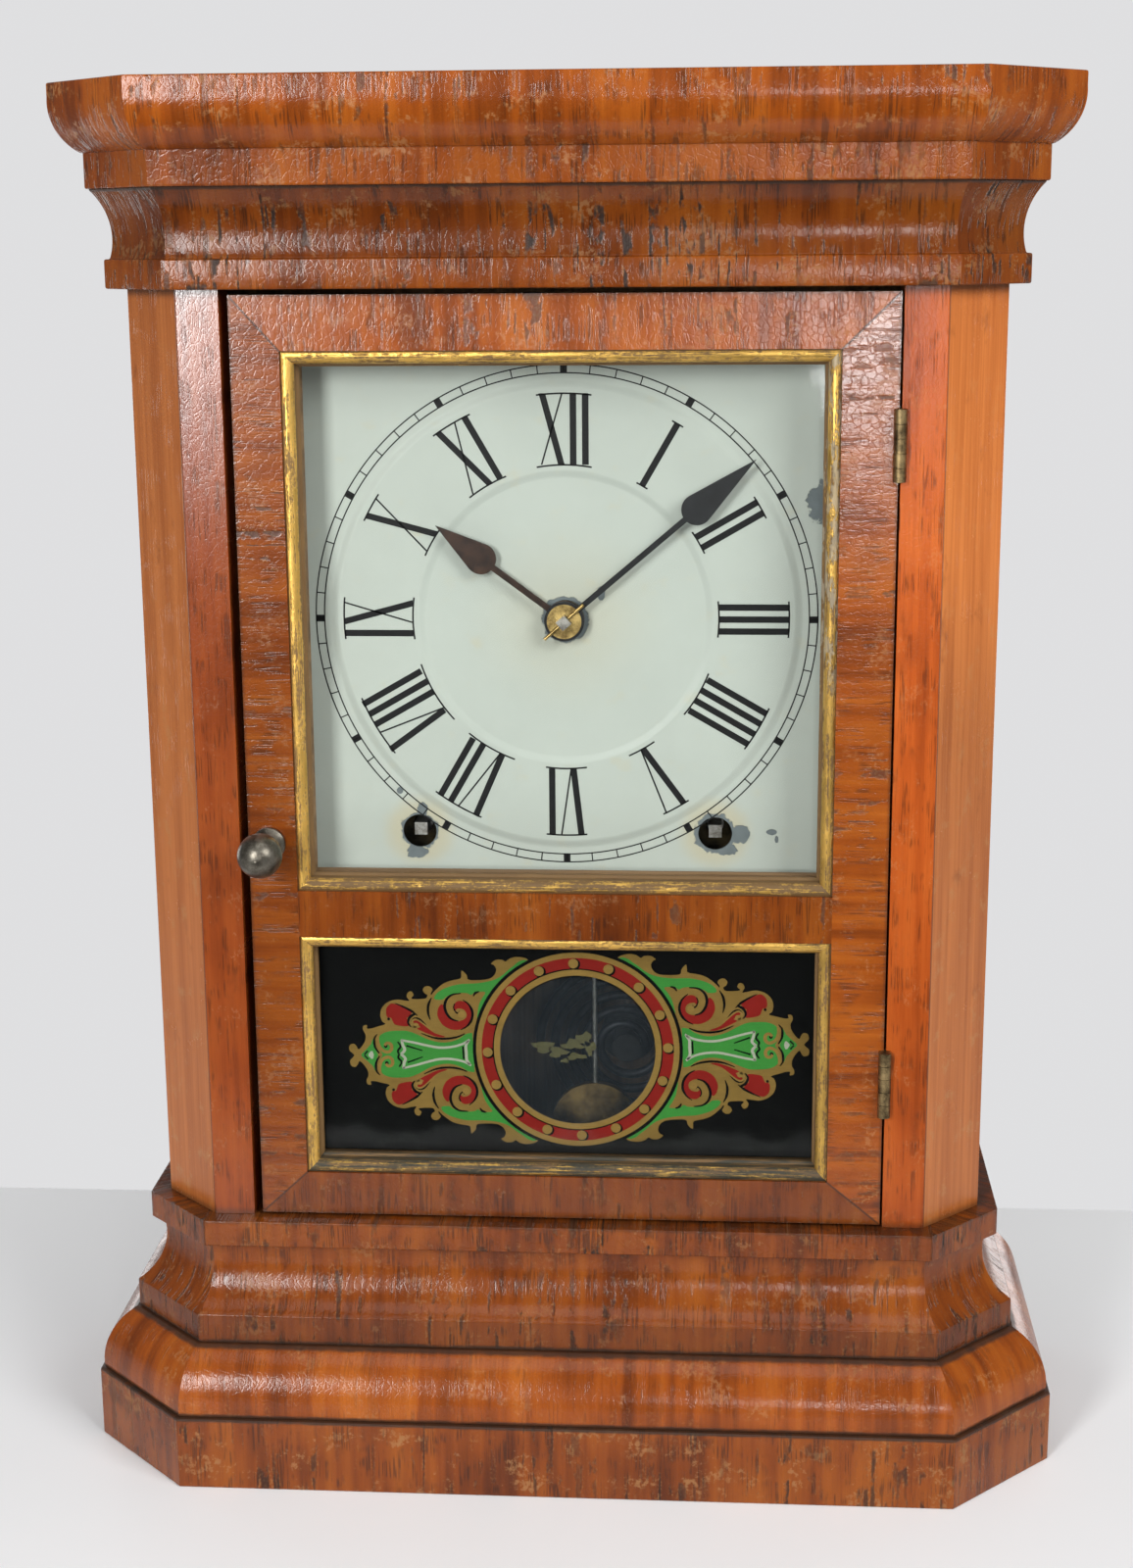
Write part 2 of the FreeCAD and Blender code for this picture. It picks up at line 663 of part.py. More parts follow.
def door_pieces():
    """Framed door with its gilt mouldings, glasses and slips."""
    knob_hole = rod_y((KNOB_X, KNOB_Z), KNOB_SHANK_R + PIVOT_CLEARANCE, 0, DOOR_T)
    left = box(DOOR_LEFT, -LIGHT_HALF, 0, DOOR_T, DOOR_BOTTOM, DOOR_TOP).cut(knob_hole)
    right = box(LIGHT_HALF, DOOR_RIGHT, 0, DOOR_T, DOOR_BOTTOM, DOOR_TOP)
    right = right.cut(hinge_cuts(HINGE_X - LEAF_GAP / 2 - LEAF_T, DOOR_RIGHT))
    save("door_stiles", group([left, right]))
    rails = [(DOOR_BOTTOM, LOWER_BOTTOM), (LOWER_TOP, UPPER_BOTTOM), (UPPER_TOP, DOOR_TOP)]
    save("door_rails", group([box(-LIGHT_HALF, LIGHT_HALF, 0, DOOR_T, *span) for span in rails]))
    gilt_start = (0, GILT_SETBACK)
    gilt_steps = [(GILT_LIP_W, GILT_SETBACK), (GILT_W, GILT_D - GILT_EDGE), (GILT_W, GILT_D), (0, GILT_D)]
    slip_y = GILT_D + GLASS_T
    slip_steps = [(SLIP_W, slip_y), (SLIP_W, slip_y + SLIP_D), (0, slip_y + SLIP_D)]
    lights = {"upper_glass": (UPPER_BOTTOM, UPPER_TOP), "lower_tablet": (LOWER_BOTTOM, LOWER_TOP)}
    gilt = []
    slips = []
    for name, (z0, z1) in lights.items():
        gilt += frame_strips(-LIGHT_HALF, LIGHT_HALF, z0, z1, gilt_start, gilt_steps)
        slips += frame_strips(-LIGHT_HALF, LIGHT_HALF, z0, z1, (0, slip_y), slip_steps)
        half = LIGHT_HALF - GLASS_PLAY
        save(name, box(-half, half, GILT_D, slip_y, z0 + GLASS_PLAY, z1 - GLASS_PLAY))
    save("gilt_mouldings", group(gilt))
    save("glass_slips", group(slips))


def hinge_leaf(z0, side, first):
    """Hinge leaf with every other knuckle; side is -1 for the door and +1 for the case."""
    near = HINGE_X + side * LEAF_GAP / 2
    far = near + side * LEAF_T
    x0, x1 = min(near, far), max(near, far)
    plate_y = HINGE_Y + KNUCKLE_R + WOOD_CLEARANCE
    leaf = box(x0, x1, plate_y, KNUCKLE_R + LEAF_W, z0, z0 + HINGE_L)
    pitch = HINGE_L / KNUCKLES
    joins = []
    for i in range(first, KNUCKLES, 2):
        low, high = z0 + i * pitch + KNUCKLE_GAP / 2, z0 + (i + 1) * pitch - KNUCKLE_GAP / 2
        joins.append(rod_z(HINGE_X, HINGE_Y, KNUCKLE_R, low, high))
        joins.append(box(x0, x1, HINGE_Y, plate_y, low, high))
    bore = rod_z(HINGE_X, HINGE_Y, HINGE_PIN_R + PIVOT_CLEARANCE, z0, z0 + HINGE_L)
    return fused(leaf, joins).cut(bore)


def hinge_pieces():
    """Two butt hinges with their pins."""
    save("hinge_case_leaves", group([hinge_leaf(z, 1, 0) for z in HINGE_BASES]))
    save("hinge_door_leaves", group([hinge_leaf(z, -1, 1) for z in HINGE_BASES]))
    save("hinge_pins", group([rod_z(HINGE_X, HINGE_Y, HINGE_PIN_R, z, z + HINGE_L) for z in HINGE_BASES]))


def knob_pieces():
    """Ball knob whose shank turns a hook behind the corner post."""
    at = (KNOB_X, KNOB_Z)
    ball_y = KNOB_BALL_R - KNOB_REACH
    seat = -CLEARANCE
    flange = seat - KNOB_FLANGE_T
    neck_end = ball_y + math.sqrt(KNOB_BALL_R ** 2 - KNOB_NECK_R ** 2)
    neck_middle = (KNOB_NECK_R, (flange + neck_end) / 2)
    face = outline_face(lambda r, y: Vec(KNOB_X + r, y, KNOB_Z), (0, seat), [
        (KNOB_FLANGE_R, seat), (KNOB_FLANGE_R, flange), (neck_middle, (KNOB_NECK_R, neck_end)),
        ((KNOB_BALL_R, ball_y), (0, -KNOB_REACH))])
    turned = face.revolve(Vec(KNOB_X, 0, KNOB_Z), Vec(0, 1, 0), 360)
    hook_y = DOOR_T + LATCH_PLAY
    save("door_knob", fused(turned, [rod_y(at, KNOB_SHANK_R, seat - KNOB_FLANGE_T, hook_y + LATCH_T)]))
    half = LATCH_W / 2
    arm = box(KNOB_X - half, KNOB_X + half, hook_y, hook_y + LATCH_T, KNOB_Z - LATCH_L, KNOB_Z)
    hook = fused(arm, [rod_y(at, LATCH_BOSS_R, hook_y, hook_y + LATCH_T)])
    save("latch_hook", hook.cut(rod_y(at, KNOB_SHANK_R + SEAT_CLEARANCE, hook_y, hook_y + LATCH_T)))


def dial_screws(play):
    """Screws of the dial plate, or the holes for them."""
    x, z = DIAL_HALF_W - DIAL_SCREW_INSET, DIAL_HALF_H - DIAL_SCREW_INSET
    places = [(sx * x, DIAL_Z + sz * z) for sx in (-1, 1) for sz in (-1, 1)]
    top = DIAL_SETBACK - DIAL_SCREW_HEAD_T
    return [wood_screw(at, top, DIAL_SCREW_HEAD_R, DIAL_SCREW_HEAD_T, DIAL_SCREW_R,
                       DIAL_SCREW_HEAD_T + DIAL_SCREW_L, 1, play) for at in places]


def dial_pieces():
    """Painted plate, the battens behind it and its screws."""
    low, high = DIAL_Z - DIAL_HALF_H, DIAL_Z + DIAL_HALF_H
    holes = dial_screws(SEAT_CLEARANCE)
    plate = box(-DIAL_HALF_W, DIAL_HALF_W, DIAL_SETBACK, DIAL_BACK, low, high)
    bores = [rod_y(CENTRE, DIAL_CENTRE_HOLE_R, DIAL_SETBACK, DIAL_BACK)]
    bores += [rod_y(at, WINDING_HOLE_R, DIAL_SETBACK, DIAL_BACK) for at in (TIME_MAIN, STRIKE_MAIN)]
    save("dial_plate", plate.cut(bores + holes))
    slope_x = DIAL_BACK + FRONT_HALF - POST_SLOPE
    plan = [(BATTEN_HALF, DIAL_BACK), (slope_x, DIAL_BACK), (SIDE_IN, SIDE_START),
            (SIDE_IN, BATTEN_BACK), (BATTEN_HALF, BATTEN_BACK)]
    batten = plan_prism(plan, low, high)
    save("dial_battens", group([mirrored(batten).cut(holes), batten.cut(holes)]))
    save("dial_screws", group(dial_screws(0)))


def hand_blade(y0, length, bulb_at, shaft_w):
    """Teardrop hand pointing at twelve o'clock."""
    x, z = CENTRE
    y1 = y0 + HAND_T
    hub = rod_y(CENTRE, HAND_HUB_R, y0, y1)
    shaft = box(x - shaft_w / 2, x + shaft_w / 2, y0, y1, z, z + bulb_at)
    bulb = rod_y((x, z + bulb_at), BULB_R, y0, y1)
    lean = math.asin(BULB_R / (length - bulb_at))
    wide, rise = BULB_R * math.cos(lean), bulb_at + BULB_R * math.sin(lean)
    tip = front_prism([(x - wide, z + rise), (x, z + bulb_at), (x + wide, z + rise), (x, z + length)], y0, y1)
    return fused(hub, [shaft, bulb, tip])


def turned_on_dial(shape, angle):
    """Turn a piece clockwise about the dial centre."""
    return shape.rotated(Vec(0, 0, DIAL_Z), Vec(0, 1, 0), angle)


def hand_pieces():
    """Hands with the washer and the taper pin that hold them."""
    hour = hand_blade(HOUR_HAND_Y, HOUR_HAND_L, HOUR_BULB_AT, HOUR_SHAFT_W)
    hour = hour.cut(rod_y(CENTRE, HOUR_PIPE_R + SEAT_CLEARANCE, 0, DIAL_SETBACK))
    save("hour_hand", turned_on_dial(hour, HOUR_ANGLE))
    half = HAND_SQUARE / 2 + SEAT_CLEARANCE
    square = box(-half, half, 0, DIAL_SETBACK, DIAL_Z - half, DIAL_Z + half)
    minute = hand_blade(MINUTE_HAND_Y, MINUTE_HAND_L, MINUTE_BULB_AT, MINUTE_SHAFT_W)
    save("minute_hand", turned_on_dial(minute.cut(square), MINUTE_ANGLE))
    washer = rod_y(CENTRE, WASHER_R, WASHER_Y, MINUTE_HAND_Y)
    save("hand_washer", turned_on_dial(washer.cut(square), MINUTE_ANGLE))
    save("hand_pin", hand_pin(HAND_PIN_R))


def hand_pin(radius):
    """Taper pin through the hand arbor, drawn straight, or the hole for it."""
    way = Vec(math.sin(math.radians(HAND_PIN_ANGLE)), 0, math.cos(math.radians(HAND_PIN_ANGLE)))
    middle = Vec(0, HAND_PIN_Y, DIAL_Z)
    return rod_between(middle - way * (HAND_PIN_L / 2), middle + way * (HAND_PIN_L / 2), radius)


def plate_holes():
    """Pivot holes that both plates share: place and radius."""
    fine = [SECOND, THIRD, ESCAPE, STRIKE_SECOND, STRIKE_THIRD, FLY, HAMMER]
    holes = [(at, PIVOT_R) for at in fine] + [(at, WINDING_PIVOT_R) for at in (TIME_MAIN, STRIKE_MAIN)]
    return holes + [(CENTRE, HAND_ARBOR_R), (VERGE, FINE_ARBOR_R)]


def plate(y0, extra):
    """Movement plate with its pivot holes and holes for the pillar ends."""
    blank = box(-PLATE_HALF_W, PLATE_HALF_W, y0, y0 + PLATE_T, PLATE_BOTTOM, PLATE_TOP)
    bores = [rod_y(at, r + PIVOT_CLEARANCE, y0, y0 + PLATE_T) for at, r in plate_holes() + extra]
    bores += [rod_y(at, PILLAR_END_R + SEAT_CLEARANCE, y0, y0 + PLATE_T) for at in PILLARS]
    return blank.cut(bores)


def movement_screws(play):
    """Screws that hold the movement to its blocks, or the holes for them."""
    head_y = BACK_IN - MOVEMENT_SCREW_HEAD_T
    length = BACK_Y - MOVEMENT_SCREW_TIP_GAP - head_y
    return [wood_screw(at, head_y, MOVEMENT_SCREW_HEAD_R, MOVEMENT_SCREW_HEAD_T, MOVEMENT_SCREW_R, length, 1,
                       play) for at in MOVEMENT_SCREWS]


def frame_pieces():
    """Plates, pillars with nuts, and the blocks and screws that carry the movement."""
    save("movement_front_plate", plate(PLATE_SETBACK, [(MINUTE_ARBOR, PIVOT_R)]))
    shanks = [rod_y(at, MOVEMENT_SCREW_R + SEAT_CLEARANCE, BACK_IN, BACK_Y) for at in MOVEMENT_SCREWS]
    save("movement_back_plate", plate(BACK_IN, []).cut(shanks))
    pillars = []
    for at in PILLARS:
        end = rod_y(at, PILLAR_END_R, PLATE_SETBACK - PILLAR_NUT_T, FRAME_BACK)
        pillars.append(fused(rod_y(at, PILLAR_R, FRONT_IN, BACK_IN), [end]))
        flats = [polar(at, PILLAR_NUT_R, math.radians(60 * i)) for i in range(6)]
        nut = front_prism(flats, PLATE_SETBACK - PILLAR_NUT_T, PLATE_SETBACK)
        pillars.append(nut.cut(rod_y(at, PILLAR_END_R + SEAT_CLEARANCE, 0, PLATE_SETBACK)))
    save("movement_pillars", group(pillars))
    block = box(MOVEMENT_SCREW_X - BLOCK_W / 2, MOVEMENT_SCREW_X + BLOCK_W / 2, FRAME_BACK, BACK_Y,
                PLATE_BOTTOM, PLATE_TOP)
    bores = movement_screws(SEAT_CLEARANCE)
    save("movement_blocks", group([mirrored(block).cut(bores), block.cut(bores)]))
    save("movement_screws", group(movement_screws(0)))


def toothed(at, teeth, module, toward, y0, y1, half):
    """Toothed disc with one tooth centred on an angle; half is half a tooth in pitches."""
    pitch_r = module * teeth / 2
    root_r, tip_r = pitch_r - DEDENDUM * module, pitch_r + ADDENDUM * module
    step = 2 * math.pi / teeth
    points = []
    for i in range(teeth):
        middle = toward + i * step
        flank = [(root_r, -half), (pitch_r, -half), (tip_r, -TIP_HALF), (tip_r, TIP_HALF),
                 (pitch_r, half), (root_r, half)]
        points += [polar(at, radius, middle + share * step) for radius, share in flank]
    return front_prism(points, y0, y1)


def spoke_windows(at, inner_r, outer_r, y0, y1):
    """Openings between the spokes of a wheel."""
    windows = []
    for i in range(SPOKES):
        middle = 2 * math.pi * (i + 0.5) / SPOKES
        sweep = {r: math.pi / SPOKES - math.asin(SPOKE_W / 2 / r) for r in (inner_r, outer_r)}
        steps = [(outer_r, -sweep[outer_r]), ((outer_r, 0.0), (outer_r, sweep[outer_r])),
                 (inner_r, sweep[inner_r]), ((inner_r, 0.0), (inner_r, -sweep[inner_r]))]

        def place(radius, angle, turn=middle):
            x, z = polar(at, radius, turn + angle)
            return Vec(x, y0, z)

        windows.append(outline_face(place, (inner_r, -sweep[inner_r]), steps).extrude(Vec(0, y1 - y0, 0)))
    return windows


def wheel(at, teeth, module, toward, y0, thickness, hub_r):
    """Spoked wheel."""
    blank = toothed(at, teeth, module, toward, y0, y0 + thickness, TOOTH_HALF)
    rim_r = module * teeth / 2 - DEDENDUM * module - SPOKE_W
    return blank.cut(spoke_windows(at, hub_r, rim_r, y0, y0 + thickness))


def lantern(at, module, gap_toward, wheel_y, wheel_t):
    """Lantern pinion: trundles between two collets, with a gap centred on an angle."""
    pitch_r = module * PINION / 2
    trundle_r = TRUNDLE * module
    y0, y1 = wheel_y - COLLET_GAP - COLLET_T, wheel_y + wheel_t + COLLET_GAP + COLLET_T
    collet_r = pitch_r + trundle_r + COLLET_RIM
    pieces = [rod_y(at, collet_r, y0, y0 + COLLET_T), rod_y(at, collet_r, y1 - COLLET_T, y1)]
    for i in range(PINION):
        angle = gap_toward + 2 * math.pi * (i + 0.5) / PINION
        pieces.append(rod_y(polar(at, pitch_r, angle), trundle_r, y0, y1))
    return pieces


def arbor(at, radius, pivot_r):
    """Arbor between the plates with a pivot in each."""
    body = rod_y(at, radius, FRONT_IN + END_SHAKE, BACK_IN - END_SHAKE)
    return fused(body, [rod_y(at, pivot_r, PLATE_SETBACK - END_SHAKE, FRAME_BACK)])


def winding_pieces(name, main, mate):
    """Winding arbor with ratchet, and the main wheel with its click that rides on it."""
    main_back = MAIN_Y + MAIN_T
    square = WINDING_SQUARE / 2
    shaft = rod_y(main, WINDING_PIVOT_R, PLATE_SETBACK - END_SHAKE, FRAME_BACK)
    body = rod_y(main, WINDING_ARBOR_R, FRONT_IN + END_SHAKE, SPRING_Y)
    hub = rod_y(main, WINDING_HUB_R, SPRING_Y, BACK_IN - END_SHAKE)
    key_end = box(main[0] - square, main[0] + square, DIAL_BACK + WINDING_RECESS, PLATE_SETBACK,
                  main[1] - square, main[1] + square)
    ratchet_y0, ratchet_y1 = main_back + CLEARANCE, main_back + CLEARANCE + WHEEL_T
    points = []
    for i in range(RATCHET_TEETH):
        turn = 2 * math.pi * i / RATCHET_TEETH
        points.append(polar(main, RATCHET_R, turn))
        root_turn = turn + 2 * math.pi * RATCHET_RAKE / RATCHET_TEETH
        points.append(polar(main, RATCHET_R - RATCHET_DEPTH, root_turn))
    ratchet = front_prism(points, ratchet_y0, ratchet_y1)
    save(name + "_winding_arbor", fused(shaft, [body, hub, key_end, ratchet]))
    great = wheel(main, MAIN_TEETH, MAIN_MODULE, bearing(main, mate), MAIN_Y, MAIN_T, MAIN_HUB_R)
    great = great.cut(rod_y(main, WINDING_ARBOR_R + PIVOT_CLEARANCE, MAIN_Y, main_back))
    near, far = RATCHET_R + CLEARANCE, RATCHET_R + SPOKE_W + CLEARANCE
    click = front_prism([(main[0] - 2 * SPOKE_W, main[1] + far + SPOKE_W), (main[0], main[1] + near),
                         (main[0] + SPOKE_W, main[1] + far), (main[0] - SPOKE_W, main[1] + far + SPOKE_W)],
                        main_back, ratchet_y1)
    save(name + "_main_wheel", group([great, click]))


def going_train():
    """Second, centre, third and escape wheels of the going side."""
    winding_pieces("time", TIME_MAIN, SECOND)
    lower = lantern(SECOND, MAIN_MODULE, bearing(SECOND, TIME_MAIN), MAIN_Y, MAIN_T)
    upper = wheel(SECOND, SECOND_TEETH, SECOND_MODULE, bearing(SECOND, CENTRE), SECOND_Y, WHEEL_T,
                  SECOND_HUB_R)
    save("second_wheel", fused(arbor(SECOND, ARBOR_R, PIVOT_R), lower + [upper]))
    lower = lantern(CENTRE, SECOND_MODULE, bearing(CENTRE, SECOND), SECOND_Y, WHEEL_T)
    upper = wheel(CENTRE, CENTRE_TEETH, CENTRE_MODULE, bearing(CENTRE, THIRD), CENTRE_Y, WHEEL_T, HUB_R)
    hub_start = SECOND_Y + WHEEL_T + COLLET_GAP
    hub = rod_y(CENTRE, CENTRE_HUB_R, hub_start, CENTRE_Y + WHEEL_T + COLLET_T)
    bore = rod_y(CENTRE, HAND_ARBOR_R + PIVOT_CLEARANCE, FRONT_IN, BACK_IN)
    save("centre_wheel", fused(hub, lower + [upper]).cut(bore))
    lower = lantern(THIRD, CENTRE_MODULE, bearing(THIRD, CENTRE), CENTRE_Y, WHEEL_T)
    upper = wheel(THIRD, THIRD_TEETH, THIRD_MODULE, bearing(THIRD, ESCAPE), THIRD_Y, THIN_T, HUB_R)
    save("third_wheel", fused(arbor(THIRD, FINE_ARBOR_R, PIVOT_R), lower + [upper]))
    lower = lantern(ESCAPE, THIRD_MODULE, bearing(ESCAPE, THIRD), THIRD_Y, THIN_T)
    save("escape_wheel", fused(arbor(ESCAPE, FINE_ARBOR_R, PIVOT_R), lower + [escape_disc()]))


def escape_disc():
    """Escape wheel with raked teeth."""
    step = 2 * math.pi / ESCAPE_TEETH
    points = []
    for i in range(ESCAPE_TEETH):
        points.append(polar(ESCAPE, ESCAPE_R, i * step))
        points.append(polar(ESCAPE, ESCAPE_R - ESCAPE_DEPTH, (i + ESCAPE_ROOT_FROM) * step))
        points.append(polar(ESCAPE, ESCAPE_R - ESCAPE_DEPTH, (i + ESCAPE_ROOT_TO) * step))
    disc = front_prism(points, ESCAPE_Y, ESCAPE_Y + THIN_T)
    rim_r = ESCAPE_R - ESCAPE_DEPTH - SPOKE_W / 2
    return disc.cut(spoke_windows(ESCAPE, SPOKE_W, rim_r, ESCAPE_Y, ESCAPE_Y + THIN_T))


def verge_piece():
    """Verge with pallets over the escape wheel and a crutch that holds the pendulum rod."""
    x, z = VERGE
    pieces = [rod_y(VERGE, FINE_ARBOR_R, CRUTCH_SETBACK, FRAME_BACK)]
    reach = ESCAPE_R + PALLET_CLEARANCE
    for side in (-1, 1):
        tip = polar(ESCAPE, reach, math.pi / 2 - side * math.radians(PALLET_SPREAD))
        out = (tip[0] + side * PALLET_ARM_W, tip[1])
        arm = [(x, z - PALLET_ARM_W / 2), tip, out, (x, z + PALLET_ARM_W)]
        pieces.append(front_prism(arm, ESCAPE_Y, ESCAPE_Y + THIN_T))
    pieces.append(rod_y(VERGE, PALLET_ARM_W, ESCAPE_Y, ESCAPE_Y + THIN_T))
    loop_z = z - CRUTCH_L
    pieces.append(rod_z(x, CRUTCH_SETBACK + CRUTCH_R, CRUTCH_R, loop_z, z))
    prong = ROD_R + CRUTCH_R + CLEARANCE
    pieces.append(rod_between(Vec(x - prong, CRUTCH_SETBACK + CRUTCH_R, loop_z),
                              Vec(x + prong, CRUTCH_SETBACK + CRUTCH_R, loop_z), CRUTCH_R))
    for side in (-1, 1):
        front = PENDULUM_SETBACK - 2 * ROD_R
        pieces.append(rod_y((x + side * prong, loop_z), CRUTCH_R, front, CRUTCH_SETBACK + CRUTCH_R))
    save("verge", fused(pieces[0], pieces[1:]))


def pendulum_pieces():
    """Suspension stud, pendulum rod with its suspension strip, bob and rating nut."""
    x, z = VERGE
    half_w, half_d = STUD_W / 2, STUD_D / 2
    foot_z = z + STUD_FOOT_UP
    slot_top = z + SUSPENSION_UP + CLEARANCE
    foot_y = PENDULUM_SETBACK - half_d
    arm = box(x - half_w, x + half_w, foot_y, PLATE_SETBACK, slot_top, slot_top + STUD_ARM_H)
    foot = box(x - half_w, x + half_w, foot_y, foot_y + STUD_D, foot_z, slot_top)
    slot = box(x - STUD_SLOT_HALF, x + STUD_SLOT_HALF, foot_y, foot_y + STUD_D, foot_z, slot_top)
    save("suspension_stud", fused(arm, [foot]).cut(slot))
    strip = box(x - SUSPENSION_T / 2, x + SUSPENSION_T / 2, PENDULUM_SETBACK - SUSPENSION_W / 2,
                PENDULUM_SETBACK + SUSPENSION_W / 2, z - SUSPENSION_DOWN - ROD_R, z + SUSPENSION_UP)
    rod = rod_z(x, PENDULUM_SETBACK, ROD_R, ROD_BOTTOM, z - SUSPENSION_DOWN)
    save("pendulum_rod", fused(rod, [strip]))
    bulge = (BOB_T - BOB_EDGE) / 2
    cap_r = (BOB_R ** 2 + bulge ** 2) / (2 * bulge)
    cap_middle = BOB_T / 2 - cap_r + math.sqrt(cap_r ** 2 - BOB_R ** 2 / 4)
    face = outline_face(lambda r, y: Vec(x + r, PENDULUM_SETBACK + y, BOB_Z), (0, -BOB_T / 2), [
        ((BOB_R / 2, -cap_middle), (BOB_R, -BOB_EDGE / 2)), (BOB_R, BOB_EDGE / 2),
        ((BOB_R / 2, cap_middle), (0, BOB_T / 2))])
    bob = face.revolve(Vec(x, 0, BOB_Z), Vec(0, 1, 0), 360)
    rod_hole = rod_z(x, PENDULUM_SETBACK, ROD_R + SEAT_CLEARANCE, ROD_BOTTOM, z - SUSPENSION_DOWN)
    save("pendulum_bob", bob.cut(rod_hole))
    nut = rod_z(x, PENDULUM_SETBACK, NUT_R, NUT_TOP - NUT_H, NUT_TOP)
    save("rating_nut", nut.cut(rod_hole))


def motion_work():
    """Hand arbor with cannon pinion, minute wheel and hour pipe."""
    square = HAND_SQUARE / 2
    shaft = rod_y(CENTRE, HAND_ARBOR_R, HOUR_HAND_Y, FRAME_BACK)
    end = box(-square, square, HAND_ARBOR_END, HOUR_HAND_Y, DIAL_Z - square, DIAL_Z + square)
    end = turned_on_dial(end, MINUTE_ANGLE).cut(hand_pin(HAND_PIN_R + SEAT_CLEARANCE))
    cannon = toothed(CENTRE, CANNON_TEETH, CANNON_MODULE, bearing(CENTRE, MINUTE_ARBOR),
                     MINUTE_WHEEL_Y - CLEARANCE / 2, MINUTE_WHEEL_Y + THIN_T + CLEARANCE / 2, LEAF_HALF)
    save("hand_arbor", fused(shaft, [end, cannon]))
    towards_centre = bearing(MINUTE_ARBOR, CENTRE)
    gap = towards_centre + math.pi / MINUTE_TEETH
    disc = toothed(MINUTE_ARBOR, MINUTE_TEETH, CANNON_MODULE, gap, MINUTE_WHEEL_Y, MINUTE_WHEEL_Y + THIN_T,
                   LEAF_HALF)
    leaf_toward = towards_centre + math.pi / MINUTE_PINION
    leaves = toothed(MINUTE_ARBOR, MINUTE_PINION, HOUR_MODULE, leaf_toward, HOUR_WHEEL_Y - CLEARANCE / 2,
                     MINUTE_WHEEL_Y, LEAF_HALF)
    pivot = rod_y(MINUTE_ARBOR, PIVOT_R, HOUR_WHEEL_Y, FRONT_IN)
    save("minute_wheel", fused(pivot, [disc, leaves]))
    pipe = rod_y(CENTRE, HOUR_PIPE_R, HOUR_HAND_Y, HOUR_WHEEL_Y + THIN_T)
    ring = toothed(CENTRE, HOUR_TEETH, HOUR_MODULE, bearing(CENTRE, MINUTE_ARBOR), HOUR_WHEEL_Y,
                   HOUR_WHEEL_Y + THIN_T, LEAF_HALF)
    bore = rod_y(CENTRE, HAND_ARBOR_R + PIVOT_CLEARANCE, 0, HOUR_WHEEL_Y + THIN_T)
    save("hour_pipe", fused(pipe, [ring]).cut(bore))


def strike_train():
    """Second, count and third wheels, the fly and the hammer of the strike."""
    winding_pieces("strike", STRIKE_MAIN, STRIKE_SECOND)
    lower = lantern(STRIKE_SECOND, MAIN_MODULE, bearing(STRIKE_SECOND, STRIKE_MAIN), MAIN_Y, MAIN_T)
    upper = wheel(STRIKE_SECOND, STRIKE_SECOND_TEETH, STRIKE_SECOND_MODULE,
                  bearing(STRIKE_SECOND, STRIKE_THIRD), STRIKE_SECOND_Y, WHEEL_T, HUB_R)
    pins = [rod_y(polar(STRIKE_SECOND, LIFT_PIN_AT, 2 * math.pi * i / LIFT_PINS), LIFT_PIN_R,
                  STRIKE_SECOND_Y - LIFT_PIN_L, STRIKE_SECOND_Y + WHEEL_T) for i in range(LIFT_PINS)]
    save("strike_second_wheel", fused(arbor(STRIKE_SECOND, ARBOR_R, PIVOT_R), lower + [upper] + pins))
    save("count_wheel", count_disc())
    lower = lantern(STRIKE_THIRD, STRIKE_SECOND_MODULE, bearing(STRIKE_THIRD, STRIKE_SECOND), STRIKE_SECOND_Y,
                    WHEEL_T)
    upper = wheel(STRIKE_THIRD, STRIKE_THIRD_TEETH, STRIKE_THIRD_MODULE, bearing(STRIKE_THIRD, FLY),
                  STRIKE_THIRD_Y, THIN_T, HUB_R)
    save("strike_third_wheel", fused(arbor(STRIKE_THIRD, FINE_ARBOR_R, PIVOT_R), lower + [upper]))
    lower = lantern(FLY, STRIKE_THIRD_MODULE, bearing(FLY, STRIKE_THIRD), STRIKE_THIRD_Y, THIN_T)
    blade = box(FLY[0] - FLY_R, FLY[0] + FLY_R, FLY_Y, FLY_Y + FLY_L, FLY[1] - FLY_T / 2, FLY[1] + FLY_T / 2)
    save("fly", fused(arbor(FLY, FINE_ARBOR_R, PIVOT_R), lower + [blade]))


def count_disc():
    """Count wheel: a notch after each run of one to twelve blows."""
    disc = rod_y(STRIKE_SECOND, COUNT_R, COUNT_Y, COUNT_Y + THIN_T)
    steps = HOURS + HOURS * (HOURS + 1) // 2
    cuts = [rod_y(STRIKE_SECOND, ARBOR_R + SEAT_CLEARANCE, COUNT_Y, COUNT_Y + THIN_T)]
    passed = 0
    for hour in range(1, HOURS + 1):
        passed += hour + 1
        notch = box(STRIKE_SECOND[0] + COUNT_R - COUNT_NOTCH_D, STRIKE_SECOND[0] + COUNT_R + COUNT_NOTCH_D,
                    COUNT_Y, COUNT_Y + THIN_T, STRIKE_SECOND[1] - COUNT_NOTCH_W / 2,
                    STRIKE_SECOND[1] + COUNT_NOTCH_W / 2)
        centre = Vec(STRIKE_SECOND[0], 0, STRIKE_SECOND[1])
        cuts.append(notch.rotated(centre, Vec(0, 1, 0), 360 * passed / steps))
    return disc.cut(cuts)


